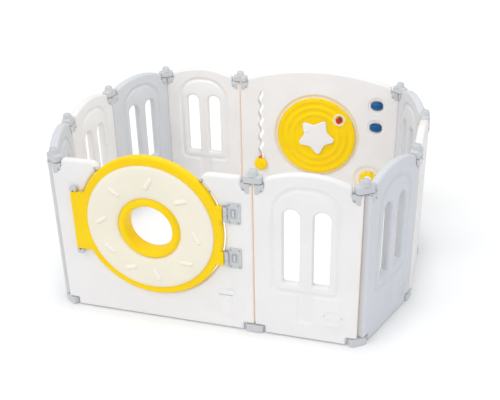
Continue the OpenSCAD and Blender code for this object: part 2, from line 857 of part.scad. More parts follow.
// Frame side: a screwed plate with a pocket and a tongue, and the middle knuckle of the barrel
module hinge_plates() {
    plate_y = -panel_t / 2 - plate_t - hinge_y;
    color(fitting_grey) {
        at_hinges() difference() {
            union() {
                translate([barrel_r + plate_w / 2, 0, 0]) upright(plate_y, plate_y + plate_t)
                    rounded_rect(plate_w, plate_h, plate_r);
                translate([0, plate_y, -knuckle_l / 2 + slack])
                    cube([barrel_r + 2, plate_t, knuckle_l - 2 * slack]);
                cylinder(r = barrel_r, h = knuckle_l - 2 * slack, center = true);
            }
            cylinder(r = hinge_pin_d / 2 + run_fit, h = barrel_l, center = true);
            translate([barrel_r + plate_w / 2, 0, 0]) upright(plate_y - 1, plate_y + pocket_depth)
                rounded_rect(pocket_w, pocket_h, plate_r);
            for (sx = [-1, 1], sz = [-1, 1])
                translate([
                    barrel_r + plate_w / 2 + sx * (plate_w / 2 - plate_screw_inset), plate_y - 1,
                    sz * (plate_h / 2 - plate_screw_inset)
                ]) rotate([-90, 0, 0]) cylinder(r = plate_screw_d / 2 + run_fit, h = plate_t + 2);
        }
        at_hinges() intersection() {
            translate([barrel_r + plate_w / 2 - pocket_w / 2 + tongue_r + 1, plate_y + pocket_depth, 0])
                cylinder(r = tongue_r, h = tongue_h, center = true);
            translate([0, plate_y + pocket_depth + 0.5 - recess_cut, -plate_h / 2])
                cube([barrel_r + plate_w, recess_cut, plate_h]);
        }
    }
}

// Gate side: a leaf in the slot of each lug, with the upper and lower knuckles
module gate_hinge_leaves() {
    color(fitting_grey) at_hinges() for (s = [-1, 1]) translate([0, 0, s * knuckle_l]) difference() {
        union() {
            cylinder(r = barrel_r, h = knuckle_l, center = true);
            translate([-leaf_l, barrel_r - leaf_t, -knuckle_l / 2]) cube([leaf_l, leaf_t, knuckle_l]);
        }
        cylinder(r = hinge_pin_d / 2 + run_fit, h = knuckle_l + 2, center = true);
    }
}

module hinge_pins() {
    color(steel) at_hinges() {
        cylinder(d = hinge_pin_d, h = barrel_l + 2 * slack, center = true);
        for (s = [-1, 1]) translate([0, 0, s * (barrel_l / 2 + slack + pin_head_t / 2)])
            cylinder(r = barrel_r - 2, h = pin_head_t, center = true);
    }
}

module hinge_screws() {
    color(steel) at_panel(GATE) at_plate_screws() outwards(0, -panel_t / 2 - plate_t, 0) {
        cylinder(d = plate_head_d, h = plate_head_t);
        translate([0, 0, -plate_t - hinge_screw_l]) cylinder(d = plate_screw_d, h = plate_t + hinge_screw_l);
    }
}

// ---- latch ----

// Above and below the tab: a block with a groove that lets its pin out to the front
module latch_keepers() {
    color(fitting_grey) at_panel(GATE) for (s = [-1, 1])
        translate([latch_x, 0, tab_z + s * (tab_h / 2 + keeper_gap + keeper_h / 2)]) difference() {
            upright(-panel_t / 2 - keeper_t, -panel_t / 2) rounded_rect(keeper_w, keeper_h, keeper_r);
            translate([
                -keeper_slot_w / 2, -panel_t / 2 - keeper_t - 1,
                s < 0 ? keeper_h / 2 - keeper_slot_depth : -keeper_h / 2 - 1
            ]) cube([keeper_slot_w, keeper_t - 1, keeper_slot_depth + 1]);
        }
}

module latch_pin(s) {
    color(steel) at_panel(GATE)
        translate([latch_x, tab_mid_y, tab_z + s * (tab_h / 2 + latch_throw - latch_pin_l / 2)])
            cylinder(d = latch_pin_d, h = latch_pin_l, center = true);
}

module upper_latch_pin() { latch_pin(1); }
module lower_latch_pin() { latch_pin(-1); }

// ---- toys ----

module at_toys() {
    at_panel(TOYS) children();
}

module dial() {
    color(yellow) at_toys() difference() {
        inwards(dial_x, 0, dial_z) rotate_extrude($fn = 180) difference() {
            union() {
                translate([0, dial_back]) square([dial_r, dial_t]);
                for (k = [0:2]) translate([dial_r - ridge_inset - k * ridge_step, dial_front - 2]) circle(ridge_r);
            }
            square([dial_axle_r + run_fit, 2 * panel_t]);
            translate([0, dial_front - axle_head_t - slack]) square([axle_head_r + slack, 2 * panel_t]);
            translate([0, dial_back - recess_cut]) square([2 * dial_r, recess_cut]);
        }
        inwards(cup_x, dial_front - cup_seat, cup_z) cylinder(r = cup_r + run_fit, h = recess_cut);
    }
}

// Five rounded points, one of them down
module star_outline(r) {
    tip_r = r * star_tip;
    polygon([for (k = [0:4]) each concat(
        [r * star_waist * towards(72 * k - 126)],
        arc_points((r - tip_r) * towards(72 * k - 90), tip_r, 72 * k - 165, 72 * k - 15)
    )]);
}

module dial_star() {
    color(white) at_toys() translate([dial_x, 0, dial_z]) upright(dial_front, dial_front + star_t)
        rotate(-star_lean) star_outline(star_r);
}

module strawberry_cup() {
    color(white) at_toys() inwards(cup_x, dial_front - cup_seat, cup_z) {
        difference() {
            cylinder(r = cup_r, h = cup_t);
            translate([0, 0, cup_wall]) cylinder(r = cup_r - cup_wall, h = cup_t);
        }
        cylinder(d = berry_post_d, h = cup_t);
    }
}

module at_berry(y0, y1) {
    at_toys() translate([cup_x, 0, cup_z]) rotate([0, berry_lean, 0]) upright(y0, y1) children();
}

module strawberry() {
    color("red") difference() {
        at_berry(cup_floor_y + slack, cup_floor_y + slack + berry_t) polygon(concat(
            arc_points([0, 0], berry_r, -berry_taper, 180 + berry_taper),
            arc_points([0, -berry_tip_drop], berry_tip_r, 180 + berry_taper, 360 - berry_taper)
        ));
        at_toys() inwards(cup_x, 0, cup_z) cylinder(r = berry_post_d / 2 + run_fit, h = 3 * panel_t);
    }
}

module strawberry_leaf() {
    y0 = cup_floor_y + slack + berry_t;
    color("green") at_berry(y0, y0 + calyx_t) polygon([
        for (k = [0:9]) [0, calyx_rise] + (k % 2 == 0 ? calyx_r : calyx_notch_r) * towards(36 * k + 90)
    ]);
}

module fruit_slider() {
    color(yellow) at_toys() inwards(wave_x, 0, slider_low) {
        rotate_extrude() intersection() {
            translate([0, inner_face + slack]) square([fruit_r, fruit_t]);
            union() {
                translate([0, inner_face + slack]) square([fruit_r - fruit_edge_r + 2, fruit_t]);
                translate([fruit_r - fruit_edge_r, inner_face + slack + fruit_t / 2]) circle(fruit_edge_r);
            }
        }
        translate([0, 0, -inner_face - slack]) cylinder(d = neck_d, h = panel_t + 2 * slack + 1);
    }
}

module fruit_leaf() {
    y0 = inner_face + slack + (fruit_t - leaf_thick) / 2;
    color("orange") at_toys() difference() {
        translate([wave_x, 0, slider_low + fruit_r + leaf_rise]) rotate([0, leaf_lean, 0])
            upright(y0, y0 + leaf_thick) intersection() {
                translate([0, -leaf_bow]) circle(leaf_bow + leaf_half_w);
                translate([0, leaf_bow]) circle(leaf_bow + leaf_half_w);
            }
        inwards(wave_x, 0, slider_low) cylinder(r = fruit_r + run_fit, h = 3 * panel_t);
    }
}

module slider_washer() {
    color(white) at_toys() outwards(wave_x, -inner_face - slack, slider_low)
        cylinder(r = washer_r, h = washer_t);
}

// A level barrel with rounded ends and a bore
module roller(z) {
    r = roller_d / 2;
    half = roller_l / 2;
    color([0.12, 0.38, 0.63]) at_toys() translate([roller_x, roller_y, z]) rotate([0, 90, 0])
        rotate_extrude() difference() {
            union() {
                translate([0, -half]) square([r - roller_end_r, roller_l]);
                translate([0, roller_end_r - half]) square([r, 2 * (half - roller_end_r)]);
                for (s = [-1, 1]) translate([r - roller_end_r, s * (half - roller_end_r)])
                    circle(roller_end_r);
            }
            translate([-2 * r, -roller_l]) square([2 * r + roller_axle_d / 2 + run_fit, 2 * roller_l]);
        }
}

module upper_roller() { roller(upper_roller_z); }
module lower_roller() { roller(lower_roller_z); }

module sun_spinner() {
    color(yellow) at_toys() difference() {
        translate([sun_x, 0, sun_z]) upright(sun_back, sun_back + sun_t) {
            circle(sun_r * sun_core);
            for (k = [0:sun_rays - 1]) rotate(360 * k / sun_rays) {
                polygon([
                    [0, -sun_r * sun_ray_root], [sun_r - sun_ray_r - 0.5, -sun_ray_r],
                    [sun_r - sun_ray_r - 0.5, sun_ray_r], [0, sun_r * sun_ray_root]
                ]);
                translate([sun_r - sun_ray_r - 0.5, 0]) circle(sun_ray_r);
            }
        }
        inwards(sun_x, 0, sun_z) cylinder(r = sun_hub_r + run_fit, h = 2 * panel_t);
    }
}

// The dial's axle, the spinner's hub and the two roller axles, all fixed in the toy panel
module toy_axles() {
    color(fitting_grey) at_toys() {
        outwards(dial_x, 0, dial_z) {
            translate([0, 0, inner_face]) cylinder(r = axle_flange_r, h = flange_t);
            translate([0, 0, -dial_front + slack])
                cylinder(r = dial_axle_r, h = dial_front - slack + inner_face + 1);
            translate([0, 0, -dial_front + slack]) cylinder(r = axle_head_r, h = axle_head_t - slack);
        }
        outwards(sun_x, 0, sun_z) {
            translate([0, 0, inner_face]) cylinder(r = sun_cap_r, h = flange_t);
            translate([0, 0, -sun_back - sun_t - slack])
                cylinder(r = sun_hub_r, h = sun_back + sun_t + slack + inner_face + 1);
            translate([0, 0, -sun_back - sun_t - slack - sun_cap_t]) cylinder(r = sun_cap_r, h = sun_cap_t);
        }
        for (z = [upper_roller_z, lower_roller_z]) translate([roller_x, roller_y, z])
            rotate([0, 90, 0]) cylinder(d = roller_axle_d, h = roller_axle_l, center = true);
    }
}

gate_frame();
front_panel();
right_near_panel();
right_middle_panel();
right_far_panel();
activity_panel();
back_panel();
left_far_panel();
left_middle_panel();
left_near_panel();
front_left_cap();
front_middle_cap();
front_right_cap();
right_near_cap();
right_far_cap();
back_right_cap();
back_middle_cap();
back_left_cap();
left_far_cap();
left_near_cap();
front_left_foot();
front_middle_foot();
front_right_foot();
right_near_foot();
right_far_foot();
back_right_foot();
back_middle_foot();
back_left_foot();
left_far_foot();
left_near_foot();
front_brackets();
right_near_brackets();
right_middle_brackets();
right_far_brackets();
back_brackets();
left_far_brackets();
left_middle_brackets();
left_near_brackets();
gate_ring();
icing_front();
icing_back();
hinge_plates();
gate_hinge_leaves();
hinge_pins();
hinge_screws();
latch_keepers();
upper_latch_pin();
lower_latch_pin();
dial();
dial_star();
strawberry_cup();
strawberry();
strawberry_leaf();
fruit_slider();
fruit_leaf();
slider_washer();
upper_roller();
lower_roller();
sun_spinner();
toy_axles();
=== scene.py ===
"""Dresses the folding playpen: moulded panels, the doughnut gate, connectors and toys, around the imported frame.

Lengths are in metres. A panel's own x runs along it from the middle of the panel, +y faces the play
space and z is height, so one mesh serves every panel of a kind.
"""

import json
from math import asin, atan2, copysign, cos, degrees, exp, hypot, pi, radians, sin, sqrt, tan

import bmesh
import bpy
from mathutils import Matrix, Vector
from mathutils.geometry import delaunay_2d_cdt


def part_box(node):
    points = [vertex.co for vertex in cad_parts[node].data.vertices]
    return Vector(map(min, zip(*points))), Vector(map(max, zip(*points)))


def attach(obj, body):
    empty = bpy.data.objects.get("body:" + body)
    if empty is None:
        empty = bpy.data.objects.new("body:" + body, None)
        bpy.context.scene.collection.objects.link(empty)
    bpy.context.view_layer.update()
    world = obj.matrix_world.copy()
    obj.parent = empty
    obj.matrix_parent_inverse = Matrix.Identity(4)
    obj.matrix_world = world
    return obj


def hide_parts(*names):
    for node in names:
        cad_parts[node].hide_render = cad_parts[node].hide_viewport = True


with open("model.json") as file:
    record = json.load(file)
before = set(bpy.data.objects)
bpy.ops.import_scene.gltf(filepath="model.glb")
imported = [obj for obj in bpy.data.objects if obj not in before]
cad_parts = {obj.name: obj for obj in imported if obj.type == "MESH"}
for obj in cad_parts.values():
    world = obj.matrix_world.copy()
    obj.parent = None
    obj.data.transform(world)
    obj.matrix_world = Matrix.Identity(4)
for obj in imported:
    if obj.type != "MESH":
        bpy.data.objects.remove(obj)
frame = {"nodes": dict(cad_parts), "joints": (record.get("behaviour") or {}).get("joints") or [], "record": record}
SCENE = bpy.context.scene
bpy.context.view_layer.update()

# ---- sizes shared with the frame ----

PIN_PITCH = 0.04
FACE = 0.016
END_REACH = 0.0175
PANEL_LIFT = 0.004
EDGE_R = 0.01
NOTCH_REACH = 0.0195
LEDGE_Z = 0.584
FOOT_NOTCH = 0.033
SHOULDER_H = 0.61
SHOULDER_R = 0.015
CAP_BOTTOM = 0.591
CAP_TOP = 0.616
FOOT_TOP = 0.03

JOINTS = {joint["name"]: joint for joint in frame["joints"]}


def pin(joint):
    return Vector(JOINTS[joint]["pos_m"])


def box_middle(node):
    low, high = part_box(node)
    return (low + high) / 2


def box_size(node):
    low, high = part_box(node)
    return high - low


GATE_Y = box_middle("gate_frame").y
TOY_MIDDLE = box_middle("activity_panel")


def depths(node):
    """How far a toy's back and front stand from the toy panel's mid-plane, towards the play space."""
    low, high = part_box(node)
    return TOY_MIDDLE.y - high.y, TOY_MIDDLE.y - low.y


def show(name, data):
    """A new object in the scene."""
    made = bpy.data.objects.new(name, data)
    SCENE.collection.objects.link(made)
    return made


side = pin("right_near_link_turn") - pin("right_near_turn")
FIRST_TURN = degrees(atan2(side.y, side.x))
NARROW_SPAN = side.length
WIDE_SPAN = 2 * (NARROW_SPAN + PIN_PITCH) - PIN_PITCH

# Headings of the panels, anticlockwise from above, starting at the gate frame
PANELS = """gate_frame front_panel right_near_panel right_middle_panel right_far_panel
    activity_panel back_panel left_far_panel left_middle_panel left_near_panel""".split()
WIDE_PANELS = ("gate_frame", "activity_panel")
HEADINGS = [0, 0, FIRST_TURN, 90, 180 - FIRST_TURN, 180, 180, 180 + FIRST_TURN, 270, 360 - FIRST_TURN, 360]
LINKS = """front_middle front_right right_near right_far back_right back_middle back_left left_far
    left_near front_left""".split()
BODY_OF = {node: body for body, nodes in frame["record"]["behaviour"]["bodies"].items() for node in nodes}

# ---- colours, as linear light ----


def colour(red, green, blue):
    """Display values from 0 to 255 as linear light."""
    channels = [value / 255 for value in (red, green, blue)]
    return tuple(c / 12.92 if c <= 0.04045 else ((c + 0.055) / 1.055) ** 2.4 for c in channels) + (1.0,)


SNOW = colour(239, 237, 237)
MIST = colour(213, 215, 220)
PEARL = colour(203, 205, 208)
SUNFLOWER = colour(252, 214, 4)
HONEY = colour(238, 172, 4)
CREAM = colour(244, 237, 219)
# A painted highlight on the icing's raised pills
PAINTED_PILL_HIGHLIGHT = colour(249, 244, 232)
COBALT = colour(10, 88, 146)
POPPY = colour(222, 28, 30)
FERN = colour(58, 96, 52)
AMBER = colour(228, 126, 26)
ZINC = colour(186, 188, 190)
# The tone of the painted yellow bounce light round the toys
BOUNCE_STRAW = colour(240, 212, 150)
# A painted warm tone and glow at the panels' ends, which stand for light coming through the thin wall
PAINTED_END_TONE = colour(238, 222, 204)
PAINTED_END_GLOW = 0.14

# ---- shader maths ----


class Sock:
    """A shader value: Python operators on it add Math nodes."""

    def __init__(self, tree, socket):
        self.tree = tree
        self.socket = socket

    def maths(self, operation, *values):
        return self.tree.node("ShaderNodeMath", {"operation": operation}, *values)[0]

    def __add__(self, other):
        return self.maths("ADD", self, other)

    def __sub__(self, other):
        return self.maths("SUBTRACT", self, other)

    def __rsub__(self, other):
        return self.maths("SUBTRACT", other, self)

    def __mul__(self, other):
        return self.maths("MULTIPLY", self, other)

    __radd__ = __add__
    __rmul__ = __mul__

    def between(self, low, high):
        """0 below low, 1 above high and smooth between them."""
        smooth = {"interpolation_type": "SMOOTHSTEP"}
        return self.tree.node("ShaderNodeMapRange", smooth, self, low, high, 0.0, 1.0)[0]


class Finish:
    """A material and the nodes that feed its shader."""

    def __init__(self, name):
        self.material = bpy.data.materials.new(name)
        self.material.use_nodes = True
        self.nodes = self.material.node_tree.nodes
        self.links = self.material.node_tree.links
        self.shader = self.nodes["Principled BSDF"]

    def node(self, kind, settings, *values, **named):
        """Adds a node: its settings first, then its sockets in order or by name."""
        made = self.nodes.new(kind)
        for key, value in settings.items():
            setattr(made, key, value)
        for key, value in list(enumerate(values)) + list(named.items()):
            name = key if isinstance(key, int) else key.replace("_", " ")
            self.feed(made.inputs[name], value)
        return [Sock(self, out) for out in made.outputs]

    def feed(self, socket, value):
        if isinstance(value, Sock):
            self.links.new(value.socket, socket)
        elif value is not None:
            socket.default_value = value

    def place(self):
        """Object coordinates, in metres."""
        return self.node("ShaderNodeTexCoord", {})[3]

    def noise(self, spot, size, detail=2.0, rough=0.5):
        """Noise whose blobs are about size metres across."""
        sockets = {"Vector": spot, "Scale": 1.0 / size, "Detail": detail, "Roughness": rough}
        return self.node("ShaderNodeTexNoise", {}, **sockets)[0]

    def blend(self, factor, first, second):
        """The colour that goes from first to second; a Mix node's two colours are its sockets 6 and 7."""
        skipped = [None] * 5
        return self.node("ShaderNodeMix", {"data_type": "RGBA"}, factor, *skipped, first, second)[2]

    def bump(self, height, strength, distance):
        return self.node("ShaderNodeBump", {}, Height=height, Strength=strength, Distance=distance)[0]

    def set(self, **sockets):
        for key, value in sockets.items():
            self.feed(self.shader.inputs[key.replace("_", " ")], value)
        return self.material


def shade(tone, factor):
    return tuple(channel * factor for channel in tone[:3]) + (1.0,)


def moulded_plastic(name, tone, rough=0.42, gloss=0.35, tip=None, glow=(), faces=None):
    """Blow-moulded polyethylene: a fine orange-peel skin, faint clouds of tone and duller, paler patches.

    tip is how far the ends reach from the panel's middle, where a painted warm tone and glow stand for light
    coming through the thin wall. The rings of painted yellow bounce light round a toy are listed as (x, z,
    inner radius, outer radius, strength). faces is the depth of the front and back face where pills stand out,
    with a painted highlight on them and painted shade on their downward-facing sides.
    """
    finish = Finish(name)
    spot = finish.place()
    clouds = finish.noise(spot, 0.16, 3.0)
    scuffs = finish.noise(spot, 0.022, 4.0, 0.65).between(0.56, 0.74)
    skin = finish.noise(spot, 0.0022, 2.0)
    sinks = finish.noise(spot, 0.045, 1.0)
    base = finish.blend(clouds.between(0.35, 0.65), shade(tone, 0.972), tone)
    base = finish.blend(scuffs * 0.12, base, shade(tone, 0.93))
    height = skin * 0.00008 + sinks * 0.0005
    if tip or glow or faces:
        x, y, z = finish.node("ShaderNodeSeparateXYZ", {}, spot)
    # Painted yellow bounce light: a straw ring round a toy, on the face towards the play space
    for ring_x, ring_z, inner, outer, strength in glow:
        across, up = x - ring_x, z - ring_z
        square = across * across + up * up
        radius = square.maths("POWER", square, 0.5)
        bounce_band = radius.between(inner - 0.006, inner + 0.004) * (1 - radius.between(outer - 0.006, outer + 0.008))
        base = finish.blend(bounce_band * y.between(0.0, 0.008) * strength, base, BOUNCE_STRAW)
    # A painted highlight on the raised pills, and painted shade on their downward-facing sides
    if faces:
        normal = finish.node("ShaderNodeNewGeometry", {})[1]
        painted_underside_shade = finish.node("ShaderNodeSeparateXYZ", {}, normal)[2] * -1.0
        pill = (faces[0] - y).maths("MAXIMUM", faces[0] - y, y - faces[1]).between(0.0001, 0.001)
        base = finish.blend(pill * 0.6, base, PAINTED_PILL_HIGHLIGHT)
        base = finish.blend(pill * painted_underside_shade.between(0.05, 0.75), base, shade(tone, 0.8))
    # Painted glow at the ends: a warm tone and an emission that stand for light coming through the thin wall
    if tip:
        end = x.maths("ABSOLUTE", x).between(tip - 0.004, tip - 0.0005)
        base = finish.blend(end * 0.6, base, PAINTED_END_TONE)
        finish.set(Emission_Color=finish.blend(end, (0, 0, 0, 1), shade(PAINTED_END_TONE, PAINTED_END_GLOW)), Emission_Strength=1.0)
    return finish.set(
        Base_Color=base,
        Roughness=(clouds - 0.5) * 0.08 + scuffs * 0.1 + rough,
        Specular_IOR_Level=gloss,
        Normal=finish.bump(height, 0.55, 1.0),
    )


def glossy_plastic(name, tone, low_tone, rough=0.3):
    """Smooth injection-moulded plastic whose colour deepens a little in soft clouds."""
    finish = Finish(name)
    spot = finish.place()
    clouds = finish.noise(spot, 0.12, 2.0)
    skin = finish.noise(spot, 0.003, 2.0)
    rub = finish.noise(spot, 0.015, 4.0, 0.6).between(0.58, 0.78)
    base = finish.blend(clouds.between(0.4, 0.75) * 0.18, tone, low_tone)
    return finish.set(
        Base_Color=base,
        Roughness=rub * 0.12 + (clouds - 0.5) * 0.05 + rough,
        Specular_IOR_Level=0.22,
        Normal=finish.bump(skin * 0.00006 + clouds * 0.0006, 0.5, 1.0),
    )


def zinc_plate(name):
    """Zinc-plated steel with fine turning marks."""
    finish = Finish(name)
    spot = finish.place()
    patches = finish.noise(spot, 0.008, 3.0)
    marks = finish.noise(spot, 0.0006, 2.0)
    return finish.set(
        Base_Color=finish.blend(patches, ZINC, shade(ZINC, 0.8)),
        Metallic=1.0,
        Roughness=patches * 0.2 + 0.28,
        Normal=finish.bump(marks * 0.00003, 0.5, 1.0),
    )


NARROW_TIP = NARROW_SPAN / 2 + END_REACH
WIDE_TIP = WIDE_SPAN / 2 + END_REACH
GATE_SKIN = moulded_plastic("white_gate_frame", SNOW, tip=WIDE_TIP)
PEARL_SKIN = moulded_plastic("pearl_grey_fitting", PEARL, rough=0.38, gloss=0.4)
YELLOW_SKIN = glossy_plastic("sunflower_gate", SUNFLOWER, HONEY, rough=0.33)
TOY_YELLOW = glossy_plastic("sunflower_toy", SUNFLOWER, HONEY, rough=0.28)
TOY_WHITE = glossy_plastic("white_toy", SNOW, shade(SNOW, 0.94))
TOY_BLUE = glossy_plastic("cobalt_toy", COBALT, shade(COBALT, 0.7))
TOY_RED = glossy_plastic("poppy_toy", POPPY, shade(POPPY, 0.6))
STEEL = zinc_plate("zinc_plated_steel")
FINISHES = {
    "white_panel": moulded_plastic("white_moulded_panel", SNOW, tip=NARROW_TIP),
    "grey_panel": moulded_plastic("grey_moulded_panel", MIST),
    "leaf_green": glossy_plastic("fern_toy", FERN, shade(FERN, 0.6)),
    "leaf_orange": glossy_plastic("amber_toy", AMBER, shade(AMBER, 0.7)),
    "fitting_grey": PEARL_SKIN, "gate_yellow": YELLOW_SKIN, "toy_yellow": TOY_YELLOW,
    "toy_white": TOY_WHITE, "toy_blue": TOY_BLUE, "toy_red": TOY_RED, "steel": STEEL,
}
SLOT_OF = {part["node"]: part["material_slot"] for part in frame["record"]["subparts"]}

# ---- outlines: a corner is (x, z, radius, steps), anticlockwise; growing one keeps its count of points ----


def grow(corners, by):
    """The outline moved outwards by a distance, with round corners."""
    points = []
    spots = [Vector(corner[:2]) for corner in corners]
    for i, (x, z, radius, steps) in enumerate(corners):
        into = (spots[i] - spots[i - 1]).normalized()
        out = (spots[(i + 1) % len(spots)] - spots[i]).normalized()
        normal_in = Vector((into.y, -into.x))
        normal_out = Vector((out.y, -out.x))
        corner = spots[i] + (normal_in + normal_out) * (by / (1 + normal_in.dot(normal_out)))
        if steps < 2:
            points.append(corner)
            continue
        turn = atan2(into.x * out.y - into.y * out.x, into.dot(out))
        sign = 1 if turn > 0 else -1
        reach = max(radius + sign * by, 0.0003)
        start = corner - into * (reach * tan(abs(turn) / 2))
        middle = start - normal_in * (sign * reach)
        for k in range(steps):
            points.append(middle + Matrix.Rotation(turn * k / (steps - 1), 2) @ (start - middle))
    return points


def turns(count):
    return [2 * pi * k / count for k in range(count)]


def swept(x, z, radius, angles):
    """Corners round a middle, without radii of their own."""
    return [(x + radius * cos(a), z + radius * sin(a), 0, 1) for a in angles]


def box_corners(x0, z0, x1, z1, foot_r, top_r, steps=7):
    return [(x0, z0, foot_r, steps), (x1, z0, foot_r, steps), (x1, z1, top_r, steps), (x0, z1, top_r, steps)]


def arch_corners(half, crown, steps):
    """The arched top, from the right-hand shoulder to the left-hand one, shoulders included."""
    rise = crown - SHOULDER_H
    radius = (half * half + rise * rise) / (2 * rise)
    inner = half - SHOULDER_R
    middle_z = crown - radius
    shoulder_z = middle_z + sqrt((radius - SHOULDER_R) ** 2 - inner ** 2)
    slope = asin(inner / (radius - SHOULDER_R))
    swing = [slope * (1 - 2 * k / (steps - 1)) for k in range(steps)]
    arc = [(radius * sin(a), middle_z + radius * cos(a), 0, 1) for a in swing]
    round_in = [(pi / 2 - slope) * k / 6 for k in range(6)]
    right = swept(inner, shoulder_z, SHOULDER_R, round_in)
    return right + arc + mirrored(right)


def end_corners(half):
    """The right-hand end of a panel: the notches for a foot and a cap, from the bottom up."""
    tip = half + END_REACH
    wall = half - NOTCH_REACH
    return [
        (wall, PANEL_LIFT, 0.005, 4), (wall, FOOT_NOTCH, 0.002, 4),
        (tip, FOOT_NOTCH, 0.003, 4), (tip, LEDGE_Z, 0.003, 4), (wall, LEDGE_Z, 0.002, 4),
    ]


def mirrored(corners):
    return [(-x, z, r, n) for x, z, r, n in reversed(corners)]


# ---- moulded sheets: rims, holes and relief ----


def inside(point, outline):
    """Whether a point lies in an outline of (x, z) pairs."""
    crossings = 0
    for (x0, z0), (x1, z1) in zip(outline, outline[1:] + outline[:1]):
        if (z0 > point.y) != (z1 > point.y) and point.x < x0 + (x1 - x0) * (point.y - z0) / (z1 - z0):
            crossings += 1
    return crossings % 2 == 1


def settle(body, material):
    data = bpy.data.meshes.new("moulding")
    body.to_mesh(data)
    body.free()
    data.shade_smooth()
    data.materials.append(material)
    return data


class Moulding:
    """Builds one moulded body from loops of points: rounded rims, and faces filled between loops."""

    def __init__(self):
        self.mesh = bmesh.new()

    def ring(self, points):
        return [self.mesh.verts.new(point) for point in points]

    def loop(self, outline, depth):
        return self.ring((p.x, depth, p.y) for p in outline)

    def face(self, corners):
        self.mesh.faces.new(corners)

    def bridge(self, first, second):
        for corners in zip(first, first[1:] + first[:1], second[1:] + second[:1], second):
            self.face(corners)

    def chain(self, loops):
        for first, second in zip(loops, loops[1:]):
            self.bridge(first, second)

    def fan(self, hub, ring):
        for first, second in zip(ring, ring[1:] + ring[:1]):
            self.face((hub, first, second))

    def fill(self, rim, holes, relief):
        """Fills a face inside rim and outside holes, through the relief's loops."""
        verts, faces = [], []
        for group in [rim] + holes + relief:
            faces.append(list(range(len(verts), len(verts) + len(group))))
            verts.extend(group)
        gaps = [(set(face), [(v.co.x, v.co.z) for v in hole]) for face, hole in zip(faces[1:], holes)]
        flat = [Vector((v.co.x, v.co.z)) for v in verts]
        _, _, triangles, origins, _, _ = delaunay_2d_cdt(flat, [], faces, 1, 1e-7)
        lookup = {k: sources[0] for k, sources in enumerate(origins) if sources}
        for triangle in triangles:
            corners = [lookup.get(k) for k in triangle]
            if None in corners or len(set(corners)) < 3:
                continue
            middle = sum((flat[k] for k in corners), Vector((0, 0))) / 3
            if any(gap.issuperset(corners) and inside(middle, outline) for gap, outline in gaps):
                continue
            try:
                self.face([verts[k] for k in corners])
            except ValueError:
                pass

    def finish(self, material):
        bmesh.ops.recalc_face_normals(self.mesh, faces=self.mesh.faces)
        return settle(self.mesh, material)

    def solid(self, loops, material):
        """A closed body: walls between the loops, and a face on the first and the last."""
        self.chain(loops)
        self.face(loops[0])
        self.face(loops[-1])
        return self.finish(material)


def join(datas):
    """One mesh from several, in the same coordinates."""
    body = bmesh.new()
    for data in datas:
        body.from_mesh(data)
    return settle(body, datas[0].materials[0])


def quarter(radius, steps):
    """Inset and sink of a rounded edge, from the flat face to the side wall."""
    angles = [pi / 2 * k / (steps - 1) for k in range(steps)]
    return [(radius * (1 - sin(a)), radius * (1 - cos(a))) for a in angles]


def soft_step(t):
    return t * t * (3 - 2 * t)


# GUARD is a flat strip beside a rounded edge, which keeps its shading off the face. END_SQUEEZE is the share
# of the round that a panel's end keeps; the ends in STEEP_END, which turn sharply inwards, keep all of it.
GUARD = 0.0018
EDGE_STEPS = 7
END_SQUEEZE = 0.47
STEEP_END = {"gate_frame": -1, "front_panel": 1, "right_near_panel": -1, "right_far_panel": 1,
             "activity_panel": -1, "back_panel": 1, "left_far_panel": -1, "left_near_panel": 1}


def panel_rim(outline, inset, steep=0):
    """The panel's outline moved in, but less at its two ends, which meet their neighbours with a tighter edge.

    steep is the end, -1 or 1, that turns sharply inwards to its neighbour and keeps the full round there.
    """
    points = grow(outline, -inset)
    tip = max(point.x for point in grow(outline, 0))
    for point in points:
        short = tip - abs(point.x)
        if short < EDGE_R + 2 * GUARD and point.x * steep <= 0:
            point.x = copysign(tip - short * END_SQUEEZE, point.x)
    return points


def panel_mesh(node, material, outline, holes, relief_in, relief_out):
    """One panel. holes are (corners, lip, flare); each relief is the (outline, depth) loops of a face."""
    body = Moulding()
    rims, openings = {}, {1: [], -1: []}
    for sign in (1, -1):
        end = STEEP_END.get(node, 0) if sign > 0 else 0
        loops = [body.loop(panel_rim(outline, inset, end), sign * (FACE - sink))
                 for inset, sink in quarter(EDGE_R, EDGE_STEPS)]
        guard = body.loop(panel_rim(outline, EDGE_R + GUARD, end), sign * FACE)
        body.chain([guard] + loops)
        rims[sign] = (guard, loops[-1])
    body.bridge(rims[1][1], rims[-1][1])
    for corners, lip, flare in holes:
        ends = {}
        deep = min(lip, FACE * 0.8)
        mouth = list(zip(grow(corners, 0), grow(flare, lip)))
        for sign in (1, -1):
            loops = [body.loop([tight.lerp(wide, inset) for tight, wide in mouth], sign * (FACE - sink * deep))
                     for inset, sink in quarter(1.0, EDGE_STEPS)]
            guard = body.loop(grow(flare, lip + GUARD), sign * FACE)
            body.chain([guard] + loops)
            ends[sign] = loops[-1]
            openings[sign].append(guard)
        body.bridge(ends[1], ends[-1])
    for sign, relief in ((1, relief_in), (-1, relief_out)):
        loops = [body.loop(points, sign * (FACE - depth)) for points, depth in relief]
        body.fill(rims[sign][0], openings[sign], loops)
    return body.finish(material)


def soft_wall(corners, width, depth, steps=6):
    """Loops that run outwards from an outline as its wall drops softly to depth."""
    shares = [k / (steps - 1) for k in range(steps)]
    return [(grow(corners, width * t), depth * soft_step(t)) for t in shares]


def step_down(corners, width, depth):
    """A wall that drops from the face to a sunken floor inside an outline."""
    wall = soft_wall(corners, -width, depth)
    return [(grow(corners, GUARD), 0.0)] + wall + [(grow(corners, -width - GUARD), depth)]


def raised_line(corners, width, height=0.0009):
    """A thin raised line along a closed outline."""
    spread = [-1.0, -0.5, 0.0, 0.5, 1.0]
    return [(grow(corners, width * t), -height * cos(pi / 2 * t)) for t in spread]


# ---- ice-pop panels ----

